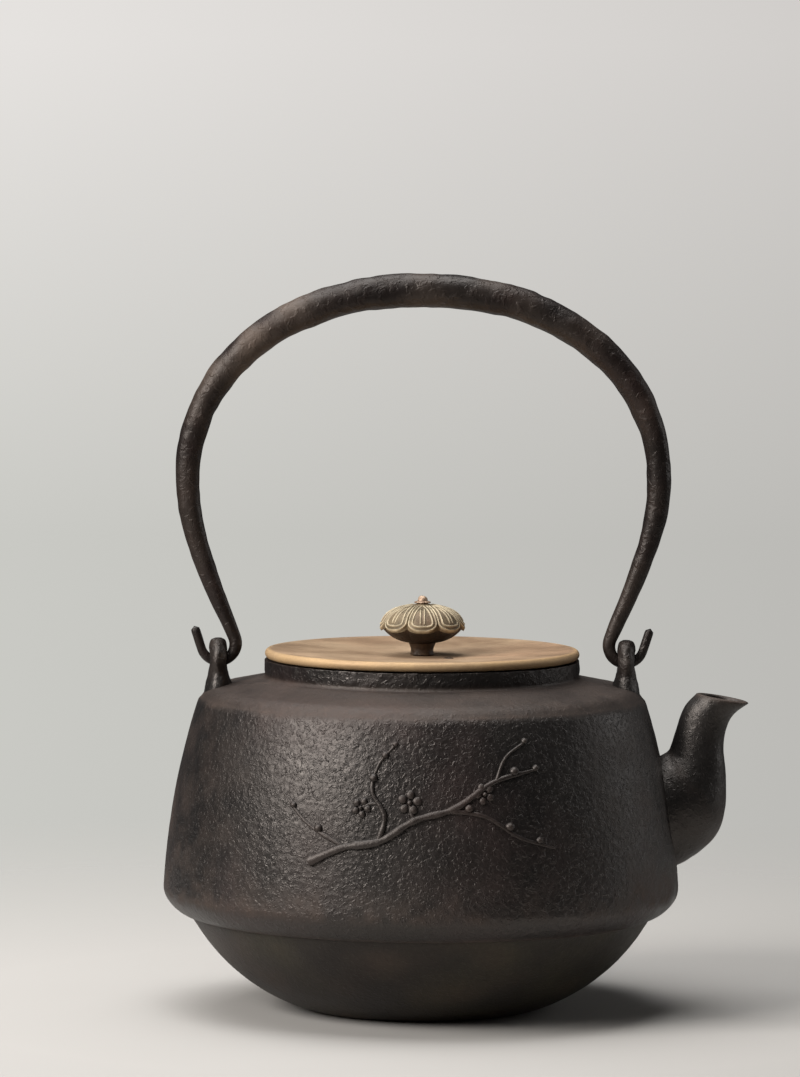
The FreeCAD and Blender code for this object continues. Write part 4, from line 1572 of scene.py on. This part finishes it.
@dataclass
class Lid(Assembly):
    """The dished bronze lid with a half-round rim and a small vent."""

    columns: int = 360
    vent: tuple[float, float] = (8.5, -12.9)
    vent_radius: float = 1.1
    drill_low: float = 112.0
    drill_high: float = 120.0
    burr_height: float = 116.42
    burr_gap: float = 0.2
    burr_columns: int = 48
    burr_rows: int = 14
    burr_thinnest: float = 0.16
    burr_swell: float = 0.4
    burr_pitch: float = 0.9
    top_height: float = 116.2
    top_edge: float = 0.05
    top_radius: float = 49.0
    top_fade: float = 4.0
    top_pitch: float = 9.0
    stem_reach: float = 6.0
    rim_radius: float = 49.6
    rim_fade: float = 0.8
    rim_pitch: float = 6.0
    rim_wear: float = 0.75
    unevenness: float = 0.14
    waves: Grain = field(default_factory=lambda: Grain(71))
    corners: list[Corner] = field(
        default_factory=lambda: [
            Corner(1.25, 114.1, pitch=2.0),
            Corner(8.0, 114.1, pitch=3.0),
            Corner(42.6, 115.3, pitch=3.0),
            Corner(50.2, 115.3, bend=1.6, pitch=0.35),
            Corner(51.8, 116.9, bend=1.6, pitch=0.35),
            Corner(50.2, 118.5, bend=-560.0, ease=0.8, pitch=0.8),
            Corner(1.25, 116.3, pitch=1.5),
        ]
    )

    def plate(self) -> Skin:
        """Turn the plate, with a top that is slightly uneven between the stem and the rim.

        Returns:
            The plate's skin.
        """
        outline = profile(self.corners, True)
        rows = revolve(outline, self.columns)
        radius, height = outline[:, :1], outline[:, 1:]
        on_top = rising(height, self.top_height, self.top_edge)
        on_top = on_top * falling(radius, self.top_radius, self.top_fade)
        clear = rising(radius, self.stem_reach, self.stem_reach)
        lift = -self.unevenness * on_top * self.waves.at(rows, self.top_pitch) * clear
        cloud = self.waves.at(rows, self.rim_pitch)
        wear = self.rim_wear * rising(radius, self.rim_radius, self.rim_fade) * (0.45 + 0.55 * cloud)
        return Skin.loft(revolve(outline, self.columns, lift), True, {"skin": 0.5, "wear": wear})

    def burr(self) -> Skin:
        """Raise a torn ring about the vent: a torus whose thickness follows the noise.

        Returns:
            The ring's skin.
        """
        angle = ring_angles(self.burr_columns)[None]
        turn = ring_angles(self.burr_rows)[:, None]
        x, y = self.vent
        middle = np.stack([x + np.cos(angle), y + np.sin(angle), 0 * angle], axis=-1)[0]
        thick = self.burr_thinnest + self.burr_swell * self.waves.at(middle, self.burr_pitch)[None]
        radius = self.vent_radius + self.burr_gap + thick * np.cos(turn)
        height = self.burr_height + thick * np.sin(turn)
        rows = np.stack([x + radius * np.cos(angle), y + radius * np.sin(angle), height], axis=-1)
        return Skin.loft(rows, True, {"skin": 0.6, "wear": 0.2})

    def build(self) -> None:
        """Build the plate, drill its vent and set the burr round it, dark so that it also paints the shade in
        the vent's opening.
        """
        plate = self.add(self.plate(), "lid_plate_bronze", Body.LID, LID_BRONZE, "lid_plate")
        low = np.array([*self.vent, self.drill_low])
        high = np.array([*self.vent, self.drill_high])
        carve(plate, drum(low, high, self.vent_radius))
        # The burr is dark: a real burr that also stands as painted shade of the vent, whose opening is too
        # small to show.
        self.add(self.burr(), "vent_burr_and_shade", Body.LID, KNOB_DARK)

    def dress(self) -> None:
        """Dress the lid's pieces, and the flange and the washer, whose solids stay as they are."""
        super().dress()
        for node, finish in (("lid_flange", LID_BRONZE), ("rivet_washer", RIVET_COPPER)):
            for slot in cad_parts[node].material_slots:
                slot.material = finish.material()


@dataclass
class Knob(Assembly):
    """The knob: a stem, a dark lower shell, a petalled upper shell and a copper rivet."""

    petals: int = 8
    radius: float = 14.3
    seam: float = 125.5
    dome_rise: float = 8.0
    hole: float = 1.25
    wall: float = 1.2
    scallop: float = 0.8
    petal_gap: float = 0.02
    line_height: float = 0.3
    groove_depth: float = 0.35
    groove_width: float = 0.22
    border_softness: float = 0.35
    rim_gap: float = 0.1
    rim_curve: float = 1.5
    outer_line: tuple[float, float] = (0.42, 0.28)
    inner_line: tuple[float, float] = (1.65, 0.25)
    line_power: int = 4
    bar_offset: float = 0.62
    bar_width: float = 0.22
    bar_start: float = 2.3
    bar_fade: float = 0.3
    washer_reach: float = 2.6
    washer_fade: float = 1.0
    dome_inset: float = 0.42
    belly: float = 1.15
    roll: float = 0.45
    columns: int = 736
    dome_rows: int = 96
    inside_rows: int = 12
    lower_columns: int = 320
    stem_columns: int = 128
    washer_columns: int = 160
    rivet_columns: int = 96
    worn: Grain = field(default_factory=lambda: Grain(81))

    def petal_place(self, angle: np.ndarray) -> np.ndarray:
        """Tell where in its petal an angle lies: -1 at a notch, 0 in the middle, 1 at the next."""
        share = angle / FULL_TURN * self.petals
        return 2 * (share - np.round(share))

    def petal_lines(
        self, place: np.ndarray, along: np.ndarray, half_width: np.ndarray, length: float
    ) -> tuple[np.ndarray, np.ndarray]:
        """Draw two raised outlines and a pair of bars on each petal, and a groove round it.

        They follow the distance from the petal's border, the smooth minimum
        e = -s ln(exp(-a / s) + exp(-b / s)) of the way a to its side and b to its rim.

        Args:
            place: Places in the petal, from -1 to 1.
            along: Distances down the dome.
            half_width: Half of the petal's width.
            length: The dome's whole length.

        Returns:
            The raised lines and the groove, both from 0 to 1.
        """
        soft = self.border_softness
        sideways = half_width * (1 - np.abs(place))
        rim = length - self.rim_gap - self.rim_curve * np.abs(place) ** 3
        downward = rim - along
        edge = -soft * np.log(np.exp(-sideways / soft) + np.exp(-downward / soft))
        outlines = hump(edge, *self.outer_line, self.line_power)
        outlines = outlines + hump(edge, *self.inner_line, self.line_power)
        offset = np.abs(np.abs(place * half_width) - self.bar_offset)
        bars = hump(offset, 0.0, self.bar_width, self.line_power)
        bars = bars * rising(edge, self.bar_start, self.bar_fade)
        below_washer = rising(along, self.washer_reach, self.washer_fade)
        lines = np.clip(outlines + bars, 0, 1) * below_washer
        return lines, np.clip(1 - edge / self.groove_width, 0, 1) * below_washer

    def upper(self) -> Skin:
        """Press petals into the dome: its radius shrinks by n |a|^5 towards the notches.

        The dome is an arc of radius R turned about Z, hole + R sin t by top - R (1 - cos t),
        lifted along its normal by the petals' lines, grooves and belly.

        Returns:
            The upper shell's skin, with the raised lines as wear.
        """
        angle = ring_angles(self.columns)
        place = self.petal_place(angle)[None]
        top = self.seam + self.dome_rise
        run = self.radius - self.hole
        bend = (run**2 + self.dome_rise**2) / (2 * self.dome_rise)
        end = math.asin(run / bend)
        turn = np.linspace(0, end, self.dome_rows)[:, None]
        share = turn / end
        notch = self.scallop * np.abs(place) ** 5 * share**2
        spread = (self.radius - notch - self.hole) / run
        radius = self.hole + bend * np.sin(turn) * (1 - (1 - spread) * share)
        hang = (0.9 - 1.35 * np.abs(place) ** 2.5) * share**5
        lines, groove = self.petal_lines(place, bend * turn, radius * math.pi / self.petals, bend * end)
        belly = self.belly * hump(share, 0.7, 0.34) * (1 - 0.35 * place**2)
        roll = self.roll * rising(share, 0.88, 0.12) ** 2
        lift = -self.dome_inset + self.line_height * lines - self.groove_depth * groove + belly
        lift = lift * np.clip(share * 6, 0, 1)
        out = np.minimum(radius + lift * np.sin(turn), self.radius - self.petal_gap) - roll
        up = top - bend * (1 - np.cos(turn)) + lift * np.cos(turn) - hang
        up = np.minimum(up, top - self.petal_gap)
        outer = np.stack([out * np.cos(angle), out * np.sin(angle), up], axis=-1)
        inner = self.dome_inside(angle, place, bend, end)
        worn_away = 0.55 + 0.45 * patches(self.worn.at(outer, 2.2), 2.2, 0.4)
        wear = np.concatenate([lines * worn_away, np.zeros(inner.shape[:2])])
        return Skin.loft(np.concatenate([outer, inner]), True, {"skin": 0.5, "wear": wear})

    def dome_inside(self, angle: np.ndarray, place: np.ndarray, bend: float, end: float) -> np.ndarray:
        """Draw the hollow under the dome, the same arc drawn in by the wall.

        Args:
            angle: Angles about Z.
            place: Places in the petals.
            bend: The dome's radius of curve.
            end: The angle at which the dome ends.

        Returns:
            Points by row and column, from the rim to the hole.
        """
        turn = np.linspace(end * 0.9, 0, self.inside_rows)[:, None]
        arc = bend - self.wall
        out = self.hole + arc * np.sin(turn) * (1 - 0.05 * np.abs(place) ** 5) * 0.9
        up = self.seam + self.dome_rise - self.wall - arc * (1 - np.cos(turn)) * 0.92
        up = np.broadcast_to(np.maximum(up, self.seam + self.petal_gap), out.shape)
        return np.stack([out * np.cos(angle), out * np.sin(angle), up], axis=-1)

    def lower(self) -> Skin:
        """Turn the lower shell, with its rim notched like the petals above it.

        Returns:
            The lower shell's skin.
        """
        place = np.abs(self.petal_place(ring_angles(self.lower_columns)))[None]
        corners = [
            Corner(self.hole, 120.6, pitch=1.2),
            Corner(4.6, 120.6, bend=12.05, pitch=0.5),
            Corner(self.radius - 0.85, self.seam + 0.2, ease=0.25, pitch=0.8),
            Corner(11.6, self.seam + 0.2, bend=-9.05, pitch=1.2),
            Corner(4.6, 121.8, pitch=1.2),
            Corner(self.hole, 121.8, pitch=0.8),
        ]
        outline = profile(corners, True)
        outward = rising(outline[:, :1], 6.0, 8.3)
        shrink = 1 - self.scallop * place**5 * outward / self.radius
        rows = narrowed(revolve(outline, self.lower_columns), shrink)
        wear = 0.55 * patches(outward, 4, 3.0) * self.worn.at(rows, 2.5)
        return Skin.loft(rows, True, {"skin": 0.6, "wear": wear})

    def stem(self) -> Skin:
        """Turn the waisted stem that stands on the lid.

        Returns:
            The stem's skin.
        """
        corners = [
            Corner(self.hole, 116.4, pitch=1.0),
            Corner(4.1, 116.4, ease=0.5, pitch=0.4),
            Corner(3.75, 118.3, ease=0.9, pitch=0.4),
            Corner(4.6, 120.6, ease=0.25, pitch=1.0),
            Corner(self.hole, 120.6, pitch=1.0),
        ]
        outline = profile(corners, True)
        outside = rising(outline[:, :1], 3.0, 0.5)
        rough = 0.22 * self.worn.at(revolve(outline, self.stem_columns), 2.0) * outside
        rows = revolve(outline, self.stem_columns, -rough)
        return Skin.loft(rows, True, {"skin": 0.6, "wear": 0.4 * self.worn.at(rows, 1.6) * outside})

    def washer(self) -> Skin:
        """Cut the washer under the rivet's head as a small flower of lobes.

        Returns:
            The washer's skin.
        """
        angle = ring_angles(self.washer_columns)
        lobes = 0.9 + 0.1 * np.abs(np.cos(angle * self.petals / 2))[None]
        corners = [
            Corner(self.hole, 133.62, pitch=0.4),
            Corner(2.75, 133.62, ease=0.15, pitch=0.3),
            Corner(2.75, 134.0, ease=0.2, pitch=0.3),
            Corner(1.9, 134.28, ease=0.1, pitch=0.3),
            Corner(self.hole, 134.28, pitch=0.3),
        ]
        outline = profile(corners, True)
        shrink = 1 - (1 - lobes) * rising(outline[:, :1], 1.6, 1.0)
        rows = narrowed(revolve(outline, self.washer_columns), shrink)
        return Skin.loft(rows, True, {"skin": 0.5, "wear": 0.5 * self.worn.at(rows, 0.8)})

    def rivet(self) -> Skin:
        """Turn the rivet from its peened foot to the head, dented by the hammer.

        Returns:
            The rivet's skin.
        """
        corners = [
            Corner(0.2, 112.3, pitch=1.0),
            Corner(2.3, 112.8, ease=0.3, pitch=0.3),
            Corner(2.3, 113.3, ease=0.1, pitch=0.4),
            Corner(1.2, 113.3, pitch=3.0),
            Corner(1.2, 134.3, pitch=0.3),
            Corner(1.75, 134.3, ease=0.25, pitch=0.2),
            Corner(1.7, 135.2, ease=0.35, pitch=0.2),
            Corner(0.95, 136.06, ease=0.4, pitch=0.2),
            Corner(0.2, 136.06, pitch=0.3),
        ]
        outline = profile(corners, False)
        head = rising(outline[:, 1:], 134.35, 0.3)
        dents = 0.32 * self.worn.at(revolve(outline, self.rivet_columns), 0.9) * head
        rows = revolve(outline, self.rivet_columns, -dents)
        return Skin.loft(rows, False, {"skin": 0.4, "wear": 0.7 * self.worn.at(rows, 0.7) * head})

    def build(self) -> None:
        """Build the knob's five pieces."""
        self.add(self.stem(), "knob_stem_dark", Body.KNOB, KNOB_DARK, "knob_stem")
        self.add(self.lower(), "knob_lower_dark", Body.KNOB, KNOB_DARK, "knob_lower_shell")
        self.add(self.upper(), "knob_petals", Body.KNOB, KNOB_PATINA, "knob_upper_shell")
        self.add(self.washer(), "knob_flower", Body.LID, RIVET_COPPER, "knob_washer")
        self.add(self.rivet(), "knob_rivet_copper", Body.LID, RIVET_COPPER, "knob_rivet")


# The stage


@dataclass(frozen=True)
class Lamp:
    """A soft box: where it stands, how large it is and how strong."""

    name: str
    place: tuple[float, float, float]
    width: float
    height: float
    power: float
    colour: tuple[float, float, float] = (1.0, 1.0, 1.0)


@dataclass
class Stage:
    """The floor, the backdrop, the lights and the camera of the picture."""

    camera_place: tuple[float, float, float] = (-0.00755, -2.115, 0.3042)
    camera_pitch: float = math.radians(85.96)
    camera_roll: float = math.radians(0.35)
    lens: float = 215.4
    sensor: float = 36.0
    nearest: float = 0.1
    farthest: float = 20.0
    aim: tuple[float, float, float] = (0.0, 0.0, 0.1)
    floor_reach: float = 2.5
    room_strength: float = 0.22
    lamps: tuple[Lamp, ...] = (
        Lamp("key", (-1.25, -0.85, 0.95), 0.9, 0.9, 33.0, (1.0, 0.97, 0.94)),
        Lamp("top", (-0.25, 0.1, 1.6), 1.4, 1.4, 28.0),
        Lamp("edge", (1.3, 0.5, 0.5), 0.25, 0.9, 1.8),
    )

    def build(self) -> None:
        """Set up the floor, the lights, the backdrop and the camera."""
        self.floor()
        self.backdrop()
        for lamp in self.lamps:
            self.light(lamp)
        self.camera()
        bpy.context.scene.view_settings.view_transform = "Standard"

    def floor(self) -> None:
        """Lay a pale floor that fades into the backdrop behind the kettle, painted a little lighter on the
        left where the key light falls.
        """
        reach = self.floor_reach
        mesh = bpy.data.meshes.new("floor")
        corners = [(-reach, -reach, 0.0), (reach, -reach, 0.0), (reach, reach, 0.0), (-reach, reach, 0.0)]
        mesh.from_pydata(corners, [], [(0, 1, 2, 3)])
        thing = bpy.data.objects.new("floor", mesh)
        bpy.context.scene.collection.objects.link(thing)
        material = bpy.data.materials.new("floor")
        graph = Graph.fresh(material)
        place = graph.node("ShaderNodeTexCoord").outputs["Object"]
        across = graph.node("ShaderNodeSeparateXYZ", {"Vector": place}).outputs["X"]
        distance = graph.node("ShaderNodeVectorMath", {0: place}, operation="LENGTH").outputs["Value"]
        # Painted light fall-off: the floor's colour is lighter on the left, towards the key light, than on
        # the right.
        share = graph.spread(across, -0.14, 0.14)
        colour = graph.blend(share, linear(190, 187, 183), linear(180, 177, 173))
        paper = graph.node("ShaderNodeBsdfDiffuse", {"Color": colour})
        clear = graph.node("ShaderNodeBsdfTransparent")
        surface = graph.mixed(graph.spread(distance, 0.16, 0.55), paper, clear)
        graph.node("ShaderNodeOutputMaterial", {"Surface": surface})
        mesh.materials.append(material)

    def backdrop(self) -> None:
        """Give the camera a pale backdrop, painted lighter to the left and towards the top as light falls on
        it, and the object a dimmer room.
        """
        world = bpy.data.worlds.new("room")
        graph = Graph.fresh(world)
        way = graph.node("ShaderNodeTexCoord").outputs["Generated"]
        parts = graph.node("ShaderNodeSeparateXYZ", {"Vector": way})
        # Painted light fall-off on the backdrop: lighter to the left and higher up.
        across = graph.spread(parts.outputs["X"], -0.06, 0.06)
        upward = graph.spread(parts.outputs["Z"], -0.07, 0.006)
        high = graph.blend(across, linear(229, 226, 223), linear(209, 206, 203))
        low = graph.blend(across, linear(201, 201, 196), linear(188, 187, 183))
        colour = graph.blend(upward, low, high)
        seen = graph.node("ShaderNodeBackground", {"Color": colour, "Strength": 1.0})
        dim = {"Color": linear(128, 128, 128), "Strength": self.room_strength}
        room = graph.node("ShaderNodeBackground", dim)
        to_camera = graph.node("ShaderNodeLightPath").outputs["Is Camera Ray"]
        graph.node("ShaderNodeOutputWorld", {"Surface": graph.mixed(to_camera, room, seen)})
        bpy.context.scene.world = world

    def light(self, lamp: Lamp) -> None:
        """Hang a soft box that faces the kettle.

        Args:
            lamp: The soft box.
        """
        data = bpy.data.lights.new(lamp.name, "AREA")
        data.shape = "RECTANGLE"
        data.size = lamp.width
        data.size_y = lamp.height
        data.energy = lamp.power
        data.color = lamp.colour
        thing = bpy.data.objects.new(lamp.name, data)
        thing.location = lamp.place
        way = Vector(self.aim) - Vector(lamp.place)
        thing.rotation_euler = way.to_track_quat("-Z", "Y").to_euler()
        bpy.context.scene.collection.objects.link(thing)

    def camera(self) -> None:
        """Set the camera where the picture was taken from."""
        data = bpy.data.cameras.new("camera")
        data.sensor_fit = "VERTICAL"
        data.sensor_height = self.sensor
        data.lens = self.lens
        data.clip_start = self.nearest
        data.clip_end = self.farthest
        thing = bpy.data.objects.new("camera", data)
        turn = Matrix.Rotation(self.camera_pitch, 4, "X") @ Matrix.Rotation(self.camera_roll, 4, "Z")
        thing.matrix_world = Matrix.Translation(self.camera_place) @ turn
        bpy.context.scene.collection.objects.link(thing)
        bpy.context.scene.camera = thing


def main() -> None:
    """Build and dress the kettle, logging each piece's face count, and set the stage."""
    logging.basicConfig(level=logging.INFO, format="%(name)s %(message)s")
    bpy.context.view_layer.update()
    for part in (Pot(), Bail(), Lid(), Knob()):
        part.build()
        part.dress()
    Stage().build()
    bpy.context.view_layer.update()


if __name__ == "__main__":
    main()
